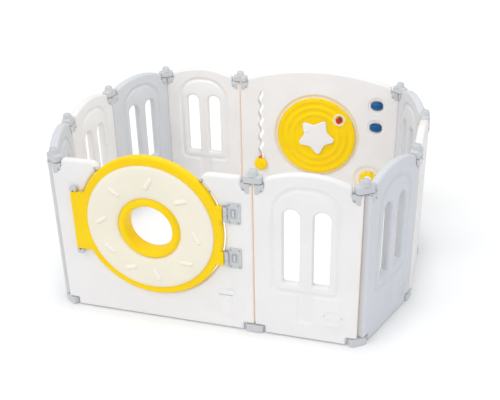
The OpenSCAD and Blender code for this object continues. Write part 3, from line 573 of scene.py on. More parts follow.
POP_HALF = 0.125
POP_BOTTOM = 0.178
POP_TOP = 0.6
STICK_HALF = 0.032
STICK_BOTTOM = 0.065
SLOT_HALF = 0.029
SLOT_SPACING = 0.105
SLOT_BOTTOM = 0.226
SLOT_TOP = 0.508
GROOVE_W = 0.026
GROOVE_DEEP = 0.0055
LIP = 0.012


def pop_relief():
    """The ice-pop: a groove round its body that opens into the sunken stick."""
    wall = GROOVE_W / 2
    half = [(STICK_HALF, STICK_BOTTOM, 0.024, 9), (STICK_HALF, POP_BOTTOM, 0.006, 6),
            (POP_HALF, POP_BOTTOM, 0.036, 9), (POP_HALF, POP_TOP, 0.108, 17)]
    shell = half + mirrored(half)
    core = box_corners(-POP_HALF + GROOVE_W, POP_BOTTOM + GROOVE_W, POP_HALF - GROOVE_W,
                       POP_TOP - GROOVE_W, 0.014, 0.082, 13)
    return step_down(shell, wall - GUARD, GROOVE_DEEP) + soft_wall(core, wall - GUARD, GROOVE_DEEP)


def slot_holes():
    """The two slots: round at the top, with a mouth that flares on both faces."""
    holes = []
    for x in (-SLOT_SPACING / 2, SLOT_SPACING / 2):
        slot, flare = (box_corners(x - half, low, x + half, SLOT_TOP, 0.008, half - 0.0002, 11)
                       for half, low in ((SLOT_HALF, SLOT_BOTTOM), (SLOT_HALF - 0.004, SLOT_BOTTOM - 0.003)))
        holes.append((slot, LIP, flare))
    return holes


def arched_outline(span, crown, steps):
    end = end_corners(span / 2)
    return end + arch_corners(span / 2 - NOTCH_REACH, crown, steps) + mirrored(end)


# Small raised motifs: outlines in motif widths from the middle of the foot, each with its line width
LINE = 0.0026
CUPCAKE = [
    ([(-0.36, 0, 0.004, 4), (0.36, 0, 0.004, 4), (0.46, 0.42, 0.003, 4), (-0.46, 0.42, 0.003, 4)], LINE),
    (box_corners(-0.5, 0.5, 0.5, 0.92, 0.006, 0.02356, 9), LINE),
]
LOLLY = [(box_corners(-0.05, 0, 0.05, 0.42, 0.001, 0.001, 3), 0.0014), (swept(0, 0.82, 0.33, turns(28)), LINE)]
STRAW_BEND = [(0.06, 1.64), (0.14, 1.64), (0.22, 1.88), (0.56, 1.98), (0.54, 2.06), (0.15, 1.95)]
BEAKER = [
    ([(-0.32, 0, 0.005, 4), (0.32, 0, 0.005, 4), (0.46, 1.35, 0.003, 4), (-0.46, 1.35, 0.003, 4)], LINE),
    (box_corners(-0.52, 1.42, 0.52, 1.56, 0.003, 0.003, 4), LINE),
    ([(u, v, 0.001, 3) for u, v in STRAW_BEND], 0.001),
]


def motif(outlines, x, z, w):
    relief = []
    for corners, line in outlines:
        relief += raised_line([(x + u * w, z + v * w, r, n) for u, v, r, n in corners], line)
    return relief


def place(name, data, node, spot=(0, 0, 0), heading=0):
    """Puts a mesh, or several as one, on the body of the node that it stands for."""
    piece = show(name, join(data) if isinstance(data, list) else data)
    piece.location = spot
    piece.rotation_euler = (0, 0, radians(heading))
    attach(piece, BODY_OF[node])
    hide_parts(node)


def floor_spot(node):
    middle = box_middle(node)
    return (middle.x, middle.y, 0)


def stand(data, node, heading):
    """Places a panel, a cap or a foot, whose heights are measured from the floor."""
    place("moulded_" + node, data, node, floor_spot(node), heading)


def narrow_panels():
    plain = pop_relief()
    motifs = {"front_panel": motif(CUPCAKE, 0.098, 0.078, 0.062),
              "right_near_panel": motif(LOLLY, 0.098, 0.07, 0.062)}
    outline = arched_outline(NARROW_SPAN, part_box("front_panel")[1].z, 19)
    meshes = {}
    for node, heading in zip(PANELS, HEADINGS):
        if node in WIDE_PANELS:
            continue
        skin = FINISHES[SLOT_OF[node]]
        key = (skin.name, node if node in motifs else "plain", STEEP_END.get(node, 0))
        if key not in meshes:
            meshes[key] = panel_mesh(node, skin, outline, slot_holes(), plain, plain + motifs.get(node, []))
        stand(meshes[key], node, heading)


# ---- wide toy panel ----

DIAL = pin("dial_spin")
SUN = pin("sun_spin")
ROLLER_LEANS = {"upper_roller": 10, "lower_roller": 28}
BERRY = pin("strawberry_spin")
DIAL_R = box_size("dial").x / 2
SLIDE_LOW = box_middle("slider_washer").z
SLIDE_TRAVEL = JOINTS["fruit_slide"]["range_m"][1]
SUN_DISH_R = 0.066
ROLLER_DISH = 0.0025
RECESS_IN, RECESS_OUT = 0.008, 0.019
WAVE_W = 0.016
WAVE_SWING = 0.006
WAVE_L = 0.062


def on_toys(point):
    """A place's own x on the toy panel, which faces the other way round."""
    return TOY_MIDDLE.x - point.x


# Rings of painted yellow bounce light round the dial and the sun dish
TOY_PANEL_SKIN = moulded_plastic("white_toy_panel", SNOW, tip=WIDE_TIP, glow=[
    (on_toys(DIAL), DIAL.z, DIAL_R + RECESS_IN, DIAL_R + RECESS_OUT, 0.4),
    (on_toys(SUN), SUN.z, SUN_DISH_R - 0.006, SUN_DISH_R + 0.006, 0.25),
])


def wave_corners():
    """The wavy slot's outline, with round ends."""
    half = WAVE_W / 2
    step = WAVE_L / 12
    heights = [SLIDE_LOW + k * step for k in range(int((SLIDE_TRAVEL + step) / step) + 1)]
    x = on_toys(box_middle("slider_washer"))
    swing = {z: x + WAVE_SWING * sin(2 * pi * (z - SLIDE_LOW + half) / WAVE_L) for z in heights}
    right = [(swing[z] + half, z, 0, 1) for z in heights]
    left = [(swing[z] - half, z, 0, 1) for z in reversed(heights)]
    ends = []
    for z, start in ((heights[-1], 0), (heights[0], 180)):
        angles = [radians(start + a) for a in range(20, 161, 20)]
        ends.append(swept(swing[z], z, half, angles))
    return right + ends[0] + left + ends[1]


def toy_panel():
    wave = wave_corners()
    dial_dish = swept(on_toys(DIAL), DIAL.z, DIAL_R + RECESS_OUT, turns(120))
    relief = step_down(dial_dish, RECESS_OUT - RECESS_IN, 0.006)
    relief += step_down(swept(on_toys(SUN), SUN.z, SUN_DISH_R + 0.006, turns(72)), 0.016, 0.004)
    for node in ROLLER_LEANS:
        axle = pin(node + "_spin")
        x = on_toys(axle)
        relief += step_down(swept(x, axle.z, 0.041, turns(48)), 0.006, ROLLER_DISH)
        pocket = box_corners(x - 0.0292, axle.z - 0.0215, x + 0.0292, axle.z + 0.0215, 0.0205, 0.0205, 9)
        relief += [(grow(pocket, -0.0006 * k), ROLLER_DISH + 0.002 * k) for k in range(5)]
    outline = arched_outline(WIDE_SPAN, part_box("activity_panel")[1].z, 31)
    data = panel_mesh("activity_panel", TOY_PANEL_SKIN, outline, [(wave, 0.0035, wave)], relief, [])
    stand(data, "activity_panel", HEADINGS[5])


# ---- gate frame ----

GATE = box_middle("icing_front")
GATE_R = box_size("gate_ring").z / 2
CUT_R = GATE_R + 0.004
POST_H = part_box("gate_frame")[1].z
POST_EDGE = WIDE_SPAN / 2 - 0.165


def frame_outline():
    """The gate frame: a post at each end and a round cut-out between them."""
    half = WIDE_SPAN / 2
    meet = sqrt(CUT_R ** 2 - POST_EDGE ** 2)
    start = degrees(atan2(meet, POST_EDGE))
    count = 73
    sweep = [radians(start - (180 + 2 * start) * k / (count - 1)) for k in range(1, count - 1)]
    cut = swept(0, GATE.z, CUT_R, sweep)
    post = end_corners(half) + [(half - NOTCH_REACH, POST_H, SHOULDER_R, 6), (POST_EDGE, POST_H, 0.034, 10),
                                (POST_EDGE, GATE.z + meet, 0.012, 5)]
    return post + cut + mirrored(post)


def gate_frame():
    cup = motif(BEAKER, 0.265, 0.066, 0.056)
    stand(panel_mesh("gate_frame", GATE_SKIN, frame_outline(), [], [], cup), "gate_frame", HEADINGS[0])


# ---- turned and revolved pieces ----


def revolve(profile, material, segments=128, closed=False):
    """Turns a profile of (radius, depth) about the y axis. The first and last point may lie on the axis."""
    body = Moulding()
    rings = [body.ring((radius * cos(a), depth, radius * sin(a)) for a in turns(segments if radius else 1))
             for radius, depth in profile]
    for first, second in zip(rings, rings[1:] + (rings[:1] if closed else [])):
        if len(first) == 1:
            body.fan(first[0], second)
        elif len(second) == 1:
            body.fan(second[0], first)
        else:
            body.bridge(first, second)
    return body.finish(material)


def arc(middle, radius, start, end, steps):
    """Profile points of an arc, in degrees from +radius towards +depth."""
    angles = [radians(start + (end - start) * k / (steps - 1)) for k in range(steps)]
    return [(middle[0] + radius * cos(a), middle[1] + radius * sin(a)) for a in angles]


GATE_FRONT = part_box("icing_front")[1].y - GATE_Y
GATE_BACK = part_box("icing_back")[0].y - GATE_Y
ICING_IN, ICING_OUT = 0.115, box_size("icing_front").z / 2
HOLE_R = 0.086
ICING_H = 0.015
GATE_SPOT = (GATE.x, GATE_Y, GATE.z)
HINGE_SPACING = 0.173


def ring_profile():
    """The yellow ring: a fat rounded rim, a flat under the icing and a rolled tube round the hole."""
    rim = 0.011
    tube_mid = (HOLE_R + ICING_IN) / 2
    tube_half = (ICING_IN - HOLE_R) / 2
    outer = arc((GATE_R - rim, GATE_FRONT + rim), rim, -90, 0, 8)
    outer += arc((GATE_R - rim, GATE_BACK - rim), rim, 0, 90, 8)
    back = arc((tube_mid, GATE_BACK + 0.001), tube_half, 60, 180, 14)
    front = arc((tube_mid, GATE_FRONT - 0.001), tube_half, 180, 300, 14)
    return outer + [(ICING_OUT - 0.004, GATE_BACK), (ICING_IN + 0.003, GATE_BACK)] + back + front + [
        (ICING_IN + 0.003, GATE_FRONT), (ICING_OUT - 0.004, GATE_FRONT)]


# The icing carries a painted highlight on its pills and painted shade under them
CREAM_SKIN = moulded_plastic("cream_icing", CREAM, rough=0.36, gloss=0.4,
                             faces=(GATE_FRONT - ICING_H, GATE_BACK + ICING_H))
FINISHES["icing_cream"] = CREAM_SKIN


def icing_profile(sign):
    """A domed icing ring on one face of the gate; sign -1 is the outer face."""
    base = GATE_FRONT if sign < 0 else GATE_BACK
    points = []
    steps = 40
    for k in range(steps + 1):
        t = k / steps
        swell = (1 - abs(2 * t - 1) ** 3.2) ** 0.55
        points.append((ICING_IN + (ICING_OUT - ICING_IN) * t, base + sign * (0.001 + (ICING_H - 0.001) * swell)))
    return points + [(ICING_OUT - 0.002, base - sign * 0.0006), (ICING_IN + 0.002, base - sign * 0.0006)]


# Each sprinkle's place round the ring and its lean, in degrees
SPRINKLES = [(86, 60), (44, 15), (-3, -65), (-40, 0), (-83, -65), (-116, 15), (-149, -35), (174, 35), (131, -35)]
SPRINKLE_RING = 0.178
SPRINKLE_L, SPRINKLE_W, SPRINKLE_H, SPRINKLE_SUNK = 0.052, 0.02, 0.005, 0.0015


def sprinkle(around, lean, sign):
    """A low pill that rises out of the icing."""
    body = Moulding()
    base = (GATE_FRONT if sign < 0 else GATE_BACK) + sign * (ICING_H - SPRINKLE_SUNK)
    half = (SPRINKLE_L - SPRINKLE_W) / 2
    spin = Matrix.Rotation(radians(lean), 2)
    spot = Vector((cos(radians(around)), sin(radians(around)))) * SPRINKLE_RING
    rounds = [(end, pi * k / 8 - pi / 2) for end in (1, -1) for k in range(9)]
    rings = []
    for inset, sink in reversed(quarter(1.0, 6)):
        reach = SPRINKLE_W / 2 * (1 - inset * 0.92)
        flat = [spot + spin @ Vector((end * (half + reach * cos(a)), end * reach * sin(a)))
                for end, a in rounds]
        rings.append(body.loop(flat, base + sign * (SPRINKLE_H + SPRINKLE_SUNK) * (1 - sink)))
    body.chain(rings)
    body.face(rings[-1])
    return body.finish(CREAM_SKIN)


def stacked(layers, material, upright=False):
    """A solid from flat outlines at rising heights, or depths if upright: layers are (corners, grow, height)."""
    body = Moulding()
    loops = []
    for corners, by, height in layers:
        points = [(p.x, height, p.y) if upright else (p.x, p.y, height) for p in grow(corners, by)]
        loops.append(body.ring(points))
    return body.solid(loops, material)


def rounded_layers(corners, low, high, low_r, high_r, steps=5):
    layers = [(corners, -inset, low + sink) for inset, sink in quarter(low_r, steps)]
    return layers + [(corners, -inset, high - sink) for inset, sink in reversed(quarter(high_r, steps))]


def block_mesh(corners, y0, y1, edge, material, steps=5):
    """An upright block with a flat outline and rounded edges, between two depths."""
    layers = rounded_layers(corners, min(y0, y1), max(y0, y1), edge, edge, steps)
    return stacked(layers, material, upright=True)


def gate():
    """The yellow ring with its latch tab and hinge lugs, and the icing on both faces."""
    left, right = (corner.x - GATE.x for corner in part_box("gate_ring"))
    tab_half = box_size("latch_keepers").z / 2 - 0.02
    tab_mid = box_middle("latch_keepers").z - GATE.z
    lobes = [(left, 0.06 - GATE_R, tab_mid, tab_half)]
    lobes += [(right - 0.05, right, upper * HINGE_SPACING / 2, 0.0265) for upper in (1, -1)]
    datas = [revolve(ring_profile(), YELLOW_SKIN, 160, closed=True)]
    for x0, x1, z, half in lobes:
        corners = box_corners(x0, z - half, x1, z + half, 0.004, 0.004, 5)
        datas.append(block_mesh(corners, GATE_FRONT + 0.0004, -0.0165, 0.0028, YELLOW_SKIN))
    place("doughnut_ring", datas, "gate_ring", GATE_SPOT)
    for node, sign in (("icing_front", -1), ("icing_back", 1)):
        datas = [revolve(icing_profile(sign), CREAM_SKIN, 160, closed=True)]
        datas += [sprinkle(around, lean, sign) for around, lean in SPRINKLES]
        place("domed_" + node, datas, node, GATE_SPOT)


# ---- connectors ----

CAP_HALF_L, CAP_HALF_W, LINK_R = 0.033, 0.0176, 0.012
FOOT_HALF_W = 0.019
KNOB_R, KNOB_H = 0.017, 0.02


def upright_turn(profile, material, segments=40):
    """Turns a profile of (radius, height) about the z axis."""
    data = revolve(profile, material, segments)
    data.transform(Matrix.Rotation(radians(90), 4, "X"))
    return data


def link_block(half_w, low, high, low_r, high_r):
    plan = box_corners(-CAP_HALF_L, -half_w, CAP_HALF_L, half_w, LINK_R, LINK_R, 8)
    return stacked(rounded_layers(plan, low, high, low_r, high_r), PEARL_SKIN)


def cap_mesh():
    """The cap: a rounded block, a stepped knob with a dimple, and two collared pins below."""
    block = link_block(CAP_HALF_W, CAP_BOTTOM, CAP_TOP, 0.0015, 0.005)
    top = CAP_TOP + KNOB_H
    profile = [(0, top - 0.0022), (0.0078, top - 0.002), (0.0092, top - 0.0006), (0.0105, top)]
    profile += arc((KNOB_R - 0.0075, top - 0.006), 0.006, 90, 8, 7)
    profile += [(KNOB_R - 0.0012, top - 0.0085), (KNOB_R, top - 0.0105), (KNOB_R, CAP_TOP + 0.003),
                (KNOB_R + 0.0012, CAP_TOP + 0.0006), (KNOB_R + 0.003, CAP_TOP - 0.0005)]
    knob = upright_turn(profile, PEARL_SKIN, 48)
    return join([block, knob] + pin_pair(CAP_BOTTOM, -1))


def pin_pair(height, sign):
    """The two collared pins of a cap or foot, which point down or up."""
    profile = [(0.008, 0.0), (0.008, 0.0024), (0.0077, 0.0027), (0.005, 0.0027), (0.005, 0.0345), (0.0038, 0.036),
               (0.0, 0.036)]
    pins = []
    for x in (-PIN_PITCH / 2, PIN_PITCH / 2):
        data = upright_turn([(r, height + sign * h) for r, h in profile], PEARL_SKIN, 28)
        data.transform(Matrix.Translation((x, 0, 0)))
        pins.append(data)
    return pins


def connectors():
    cap = cap_mesh()
    foot = join([link_block(FOOT_HALF_W, 0.0, FOOT_TOP, 0.005, 0.0025)] + pin_pair(FOOT_TOP, 1))
    for i, link in enumerate(LINKS):
        heading = (HEADINGS[i] + HEADINGS[i + 1]) / 2
        stand(cap, link + "_cap", heading)
        stand(foot, link + "_foot", heading)


# ---- corner brackets ----

CHEEK_T = 0.002
CHEEK_TOP = 0.5878
BRACKET_IN = 0.019
BRACKET_OUT = 0.0155
BOSS_X = -0.0085
BOSS_SHAPE = [(0.5555, 0.2), (0.5562, 0.75), (0.558, 1.0), (0.585, 1.0), (0.5872, 0.8), (0.5878, 0.2)]
# The shield outline of a cheek, from the pin: inboard is +x
CHEEK = [
    (-BRACKET_OUT, 0.5535, 0.003, 4), (0.001, 0.553, 0.008, 6), (0.0085, 0.564, 0.006, 5),
    (BRACKET_IN, 0.568, 0.005, 5), (BRACKET_IN, CHEEK_TOP, 0.0015, 4), (-BRACKET_OUT, CHEEK_TOP, 0.0015, 4),
]


def bracket_mesh():
    """A bracket at the pin of a panel's first end: two cheeks with a boss each, and the web between them."""
    datas = []
    outer = FACE + CHEEK_T
    for sign in (-1, 1):
        datas.append(block_mesh(CHEEK, sign * (FACE - 0.0001), sign * outer, 0.0009, PEARL_SKIN, 4))
        boss = Moulding()
        rings = []
        for height, squeeze in BOSS_SHAPE:
            rings.append(boss.ring((BOSS_X + x * squeeze, sign * (FACE + 0.001) + y * 0.75 * squeeze, height)
                                   for x, y in arc((0, 0), 0.0034, 0, 360, 20)[:-1]))
        datas.append(boss.solid(rings, PEARL_SKIN))
    web = box_corners(-BRACKET_OUT, 0.584, BRACKET_IN, CHEEK_TOP, 0.0004, 0.0008, 3)
    datas.append(block_mesh(web, -FACE - 0.001, FACE + 0.001, 0.0006, PEARL_SKIN, 3))
    data = join(datas)

    # Rounds the end in plan, as the panel's end is, so that neighbours clear each other
    body = bmesh.new()
    body.from_mesh(data)
    for step in (0.0004, 0.0015, 0.0032, 0.0054, 0.0078, EDGE_R):
        bmesh.ops.bisect_plane(body, geom=body.verts[:] + body.edges[:] + body.faces[:],
                               plane_co=(step - BRACKET_OUT, 0, 0), plane_no=(1, 0, 0))
    for v in body.verts:
        along, across = EDGE_R - BRACKET_OUT - v.co.x, abs(v.co.y) - outer + EDGE_R
        reach = hypot(along, across)
        if along > 0 and across > 0 and reach > EDGE_R:
            v.co.x = EDGE_R - BRACKET_OUT - along * EDGE_R / reach
            v.co.y = copysign(outer - EDGE_R + across * EDGE_R / reach, v.co.y)
    body.to_mesh(data)
    body.free()
    return data


def screw_head(x, z, face, sign, radius=0.0039, rise=0.0015):
    """A low domed screw head with a cross recess, on a face."""
    body = Moulding()
    count = 24
    shapes = [([part] * count, height) for part, height in ((1, 0), (0.97, 0.45), (0.8, 0.85), (0.5, 1))]
    shapes.append(([0.42 if k % 6 in (0, 1, 5) else 0.16 for k in range(count)], 0.9))
    rings = []
    for parts, height in shapes:
        rims = [(radius * part, a) for part, a in zip(parts, turns(count))]
        rings.append(body.ring((x + r * cos(a), face + sign * rise * height, z + r * sin(a)) for r, a in rims))
    body.chain(rings)
    body.fan(body.mesh.verts.new((x, face + sign * rise * 0.25, z)), rings[-1])
    return body.finish(STEEL)


def brackets():
    corner = bracket_mesh()
    heads = join([screw_head(0.011, 0.568, sign * (FACE + CHEEK_T), sign) for sign in (-1, 1)])
    parts, screws = {}, {}
    for panel, heading in zip(PANELS, HEADINGS):
        half = (WIDE_SPAN if panel in WIDE_PANELS else NARROW_SPAN) / 2
        spot = Matrix.Translation(floor_spot(panel)) @ Matrix.Rotation(radians(heading), 4, "Z")
        for side in (-1, 1):
            end = Matrix.Translation((side * half, 0, 0)) @ Matrix.Diagonal((-side, 1, 1, 1))
            for source, group in ((corner, parts), (heads, screws)):
                copy = source.copy()
                copy.transform(spot @ end)
                if side > 0:
                    copy.flip_normals()
                group.setdefault(BODY_OF[panel], []).append(copy)
    for name in parts:
        node = name + "_brackets"
        place(name + "_corner_brackets", parts[name], node)
        piece = show(name + "_bracket_screws", join(screws[name]))
        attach(piece, BODY_OF[node])


# ---- hinges and latch ----

PLATE_H, PLATE_T = 0.079, 0.004


def hinge_plates():
    """Two plates with a pocket, a half-round tongue and four screw heads each, and the middle knuckles."""
    axis = pin("gate_hinge")
    front = GATE_Y - FACE
    face = front - PLATE_T
    left, right = axis.x + 0.0075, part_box("hinge_plates")[1].x
    middle = (left + right) / 2
    datas, screws = [], []
    for upper in (1, -1):
        z = GATE.z + upper * HINGE_SPACING / 2
        body = Moulding()
        outline = box_corners(left, z - PLATE_H / 2, right, z + PLATE_H / 2, 0.004, 0.004, 6)
        pocket = box_corners(middle - 0.012, z - 0.018, middle + 0.012, z + 0.018, 0.004, 0.004, 6)
        back = body.loop(grow(outline, 0), front)
        loops = [body.loop(grow(outline, -inset), face + sink) for inset, sink in quarter(0.0012, 4)]
        body.chain([back] + list(reversed(loops)))
        wall = [body.loop(grow(pocket, by), face + sink) for by, sink in
                ((0.0016, 0.0), (0.0008, 0.0002), (0.0, 0.0008), (-0.0003, 0.0022), (-0.0012, 0.0026))]
        body.fill(loops[0], [wall[0]], [])
        body.face(back)
        body.chain(wall)
        body.face(wall[-1])
        datas.append(body.finish(PEARL_SKIN))
        tongue = box_corners(middle - 0.009, z - 0.0135, middle + 0.003, z + 0.0135, 0.003, 0.003, 5)
        datas.append(block_mesh(tongue, front - 0.0014, front - 0.0058, 0.0035, PEARL_SKIN, 6))
        half = [(0.0031, 0.0085), (0.0068, 0.0085), (0.0075, 0.0078)]
        knuckle = upright_turn([(r, -h) for r, h in half] + half[::-1], PEARL_SKIN, 36)
        knuckle.transform(Matrix.Translation((axis.x, axis.y, z)))
        strap = box_corners(axis.x, z - 0.0085, left + 0.002, z + 0.0085, 0.0008, 0.0008, 3)
        datas += [knuckle, block_mesh(strap, front, face, 0.0006, PEARL_SKIN, 3)]
        screws += [screw_head(middle + x, z + up, face, -1, 0.0033, 0.0018)
                   for x in (-0.016, 0.016) for up in (-0.0325, 0.0325)]
    place("pocket_hinge_plates", datas, "hinge_plates")
    place("hinge_screw_heads", screws, "hinge_screws")


def keepers():
    """Two blocks with a groove for the latch pin, the lower one open at its top and the upper at its foot."""
    low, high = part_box("latch_keepers")
    mid = (low.x + high.x) / 2
    tall, groove, wall = 0.018, 0.0045, 0.0035
    half = [(high.x, 0, 0.003), (high.x, tall, 0.003),
            (mid + wall, tall, 0.0008), (mid + wall, tall - groove, 0.0008)]
    points = half + [(2 * mid - x, up, r) for x, up, r in reversed(half)]
    lower = [(x, low.z + up, r, 4) for x, up, r in points]
    upper = [(x, high.z - up, r, 4) for x, up, r in reversed(points)]
    datas = [block_mesh(corners, GATE_Y - FACE, low.y, 0.0008, PEARL_SKIN, 4) for corners in (lower, upper)]
    place("latch_keeper_blocks", datas, "latch_keepers")


# ---- toys ----


def place_toy(name, data, node, point):
    place(name, data, node, (point.x, TOY_MIDDLE.y, point.z), 180)


def ray_corners(count, tip, dip, tip_r, dip_r, steps, start=0.0):
    """A star's outline, from a dip to its tip, with the first tip at start degrees."""
    corners = []
    turn = 360 / count
    for k in range(count):
        for angle, reach, r in ((turn * (k - 0.5), dip, dip_r), (turn * k, tip, tip_r)):
            a = radians(start + angle)
            corners.append((reach * cos(a), reach * sin(a), r, steps))
    return corners


def dial():
    """The dial: a plate with three soft ridges, and its star with a button."""
    back, ridge_top = depths("dial")
    plate_top = ridge_top - 0.007
    edge, inner_end, steps = 0.004, 0.08, 90
    profile = [(0.0001, back), (DIAL_R - 0.001, back), (DIAL_R, back + 0.001)]
    profile += [(DIAL_R - inset, plate_top + 0.004 - sink) for inset, sink in reversed(quarter(edge, 6))]
    crests = [DIAL_R - 0.013 - 0.031 * k for k in range(3)]
    for k in range(steps):
        r = DIAL_R - edge - (DIAL_R - edge - inner_end) * (k + 1) / steps
        lift = sum(exp(-((r - crest) / 0.0095) ** 2) for crest in crests)
        profile.append((r, plate_top + 0.0045 * min(lift, 1.0)))
    profile += [(0.04, plate_top), (0.0001, plate_top)]
    place_toy("ridged_dial", revolve(profile, TOY_YELLOW), "dial", DIAL)
    top = depths("dial_star")[1]
    corners = ray_corners(5, 0.098, 0.057, 0.0138, 0.012, 9, -98)
    star = block_mesh(corners, plate_top - 0.0005, top, 0.005, TOY_WHITE, 7)
    profile = [(0.009, -0.0005), (0.0088, 0.0012), (0.007, 0.0026), (0.0035, 0.0022), (0.0001, 0.0018)]
    button = revolve([(r, top + rise) for r, rise in profile], TOY_WHITE, 28)
    button.transform(Matrix.Translation((0.042, 0, 0.026)))
    place_toy("dial_star_skin", [star, button], "dial_star", DIAL)


def strawberry():
    """The strawberry, narrow at its foot, in a dish with a rolled rim."""
    floor, top = depths("strawberry_cup")
    seat = depths("dial")[1] - 0.0064
    profile = [(0.0001, floor), (0.0275, floor), (0.028, floor + 0.001), (0.028, top - 0.003),
               (0.027, top - 0.0008), (0.0252, top), (0.0232, top - 0.001),
               (0.0212, max(top - 0.004, seat + 0.0008)), (0.019, seat + 0.0002), (0.0001, seat)]
    place_toy("strawberry_dish", revolve(profile, TOY_WHITE, 64), "strawberry_cup", BERRY)
    base, crest = depths("strawberry")
    berry = Moulding()
    side = [(0.0165 * (1 - 0.34 * max(0.0, -sin(a)) ** 1.3) * cos(a), 0.018 * sin(a) - 0.002)
            for a in turns(32)]
    rings = []
    for reach, sink in [(0.75, 1.0)] + [(max(1 - inset, 0.04), sink) for inset, sink in reversed(quarter(1.0, 8))]:
        rings.append(berry.ring((x * reach, base + (crest - base) * (1 - sink), z * reach) for x, z in side))
    data = berry.solid(rings, TOY_RED)
    data.transform(Matrix.Rotation(radians(-28), 4, "Y"))
    place_toy("strawberry_body", data, "strawberry", BERRY)


def slider():
    """The fruit that slides in the wavy slot, with a thin neck through it."""
    back = FACE + 0.0003
    radius = box_size("fruit_slider").x / 2
    profile = [(0.0001, back), (radius - 0.005, back)] + arc((radius - 0.006, back + 0.006), 0.006, -80, 0, 6)
    for k in range(14):
        a = pi / 2 * k / 13
        profile.append((radius * cos(a) ** 0.8 if k < 13 else 0.0001, back + 0.008 + 0.01 * sin(a)))
    fruit = revolve(profile, TOY_YELLOW, 72)
    neck = revolve([(0.0017, -back), (0.0017, back + 0.001)], TOY_YELLOW, 20)
    place_toy("sliding_fruit", [fruit, neck], "fruit_slider", box_middle("slider_washer"))


def roller(node, lean):
    """An egg-ended roller with shallow ribs along it; lean turns the ribs about the axle."""
    body = Moulding()
    steps = 28
    half, radius, fullness = 0.0262, 0.0186, 2.05
    rings = []
    for k in range(steps + 1):
        t = cos(pi * (1 - k / steps))
        reach = (1 - abs(t) ** fullness) ** (1 / fullness)
        points = []
        for a in turns(72):
            rib = exp(-(sin(3 * (a - radians(lean) - 0.1 * sin(3 * t))) / 0.34) ** 2)
            r = max(radius * reach - 0.0012 * (1 - rib) * reach, 0.0027)
            points.append((half * t, r * cos(a), r * sin(a)))
        rings.append(body.ring(points))
    body.chain(rings)
    place("ribbed_" + node, body.finish(TOY_BLUE), node, pin(node + "_spin"))


def sun():
    """The sun spinner: ten soft lobes round a low dome, under a white hub cap that stays with the panel."""
    back, front = depths("sun_spinner")
    reach = box_size("sun_spinner").x / 2
    corners = ray_corners(10, reach * 1.06, reach * 0.78, 0.007, 0.005, 7)
    edge = 0.004
    body = Moulding()
    flat = grow(corners, -edge)
    disc = [p.normalized() * 0.018 for p in flat]
    loops = [body.loop([a.lerp(b, t) for a, b in zip(disc, flat)], front + 0.0012 * (1 - t))
             for t in (0.0, 0.3, 0.6, 0.85)]
    layers = rounded_layers(corners, back, front, edge, edge, 6)
    loops += [body.loop(grow(outline, by), depth) for outline, by, depth in reversed(layers)]
    place_toy("lobed_sun", body.solid(loops, TOY_YELLOW), "sun_spinner", SUN)
    profile = [(0.0204, -0.0002), (0.0204, 0.0034), (0.0196, 0.0048),
               (0.015, 0.007), (0.008, 0.0082), (0.0001, 0.0085)]
    hub = show("sun_hub_cap", revolve([(r, front + rise) for r, rise in profile], TOY_WHITE, 48))
    hub.location = (SUN.x, TOY_MIDDLE.y, SUN.z)
    hub.rotation_euler.z = pi
    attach(hub, "back")


# ---- carried-over nodes, floor, light and camera ----


def dress_plain_nodes():
    for node, piece in frame["nodes"].items():
        piece.data.materials.clear()
        piece.data.materials.append(FINISHES[SLOT_OF[node]])


# Light: strengths of the sky, the far lamps and the overhead one, and how the camera sees the floor
SKY = 0.68
KEY = 0.86
FILL = 0.5
INSIDE = 4.6
FLOOR_SEEN = colour(228, 228, 228)
FLOOR_GLOW = 0.31
FLOOR_REACH = 12


def white_floor():
    """A white floor that keeps the shadows, with painted contact shade where the object stands: ambient occlusion
    dims its glow for the camera.
    """
    data = bpy.data.meshes.new("floor")
    corners = [(x * FLOOR_REACH, y * FLOOR_REACH, 0) for x, y in ((-1, -1), (1, -1), (1, 1), (-1, 1))]
    data.from_pydata(corners, [], [(0, 1, 2, 3)])
    finish = Finish("white_floor")
    seen = finish.node("ShaderNodeLightPath", {})[0]
    # Painted contact shade: ambient occlusion dims the floor's glow near the object
    painted_contact_shade = finish.node("ShaderNodeAmbientOcclusion", {"samples": 8}, Distance=0.11)[1]
    finish.set(
        Base_Color=finish.blend(seen, colour(250, 250, 250), FLOOR_SEEN),
        Roughness=0.9,
        Specular_IOR_Level=0.0,
        Emission_Color=(1, 1, 1, 1),
        Emission_Strength=seen * painted_contact_shade * FLOOR_GLOW,
    )
    data.materials.append(finish.material)
    show("floor", data)


def lamp(name, kind, spot, power, tone):
    light = bpy.data.lights.new(name, kind)
    light.energy = power
    light.color = tone
    piece = show(name, light)
    piece.location = spot
    return light, piece


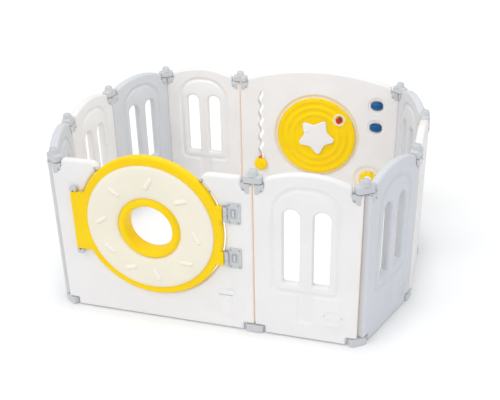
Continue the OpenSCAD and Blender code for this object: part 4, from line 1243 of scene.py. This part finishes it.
def studio():
    """A white floor and surround, two far lamps, and a soft one over the play space."""
    white_floor()
    world = bpy.data.worlds.new("surround")
    SCENE.world = world
    world.use_nodes = True
    tree = world.node_tree
    background = tree.nodes["Background"]
    mix = tree.nodes.new("ShaderNodeMix")
    mix.inputs[2].default_value, mix.inputs[3].default_value = SKY, 1.0
    tree.links.new(tree.nodes.new("ShaderNodeLightPath").outputs["Is Camera Ray"], mix.inputs[0])
    tree.links.new(mix.outputs[0], background.inputs["Strength"])
    background.inputs["Color"].default_value = (1, 1, 1, 1)
    for name, spot, spread, power, tone in (("key", (-1.8, -2.4, 3.2), 50, KEY, (1, 1, 1)),
                                            ("fill", (3.2, -1.6, 2.0), 70, FILL, (0.78, 0.9, 1.0))):
        light, piece = lamp(name, "SUN", spot, power, tone)
        light.angle = radians(spread)
        piece.rotation_euler = (-Vector(spot)).to_track_quat("-Z", "Y").to_euler()
    light, piece = lamp("inside", "AREA", (0, 0, 1.5), INSIDE, (1.0, 0.97, 0.91))
    light.shape = "DISK"
    light.size = 1.2
    piece.visible_camera = False


# Camera: place; yaw, tilt and roll in degrees; focal length and shift in frame widths
CAMERA_SPOT = (0.8185, GATE_Y - 2.1419, 1.6139)
CAMERA_TURNS = (16.229, 25.915, -0.914)
CAMERA_FOCAL = 746.14 / 500
CAMERA_SHIFT = (-0.01248, -0.00222)


def camera():
    data = bpy.data.cameras.new("view")
    data.sensor_width = 36
    data.lens = 36 * CAMERA_FOCAL
    data.shift_x, data.shift_y = CAMERA_SHIFT
    piece = show("view", data)
    yaw, tilt, roll = (radians(v) for v in CAMERA_TURNS)
    turn = Matrix.Rotation(yaw, 4, "Z") @ Matrix.Rotation(pi / 2 - tilt, 4, "X") @ Matrix.Rotation(roll, 4, "Z")
    piece.matrix_world = Matrix.Translation(CAMERA_SPOT) @ turn
    SCENE.camera = piece


SCENE.view_settings.view_transform = "Standard"
camera()
dress_plain_nodes()
narrow_panels()
toy_panel()
gate_frame()
gate()
connectors()
brackets()
hinge_plates()
keepers()
dial()
strawberry()
slider()
for roller_node, lean in ROLLER_LEANS.items():
    roller(roller_node, lean)
sun()
studio()
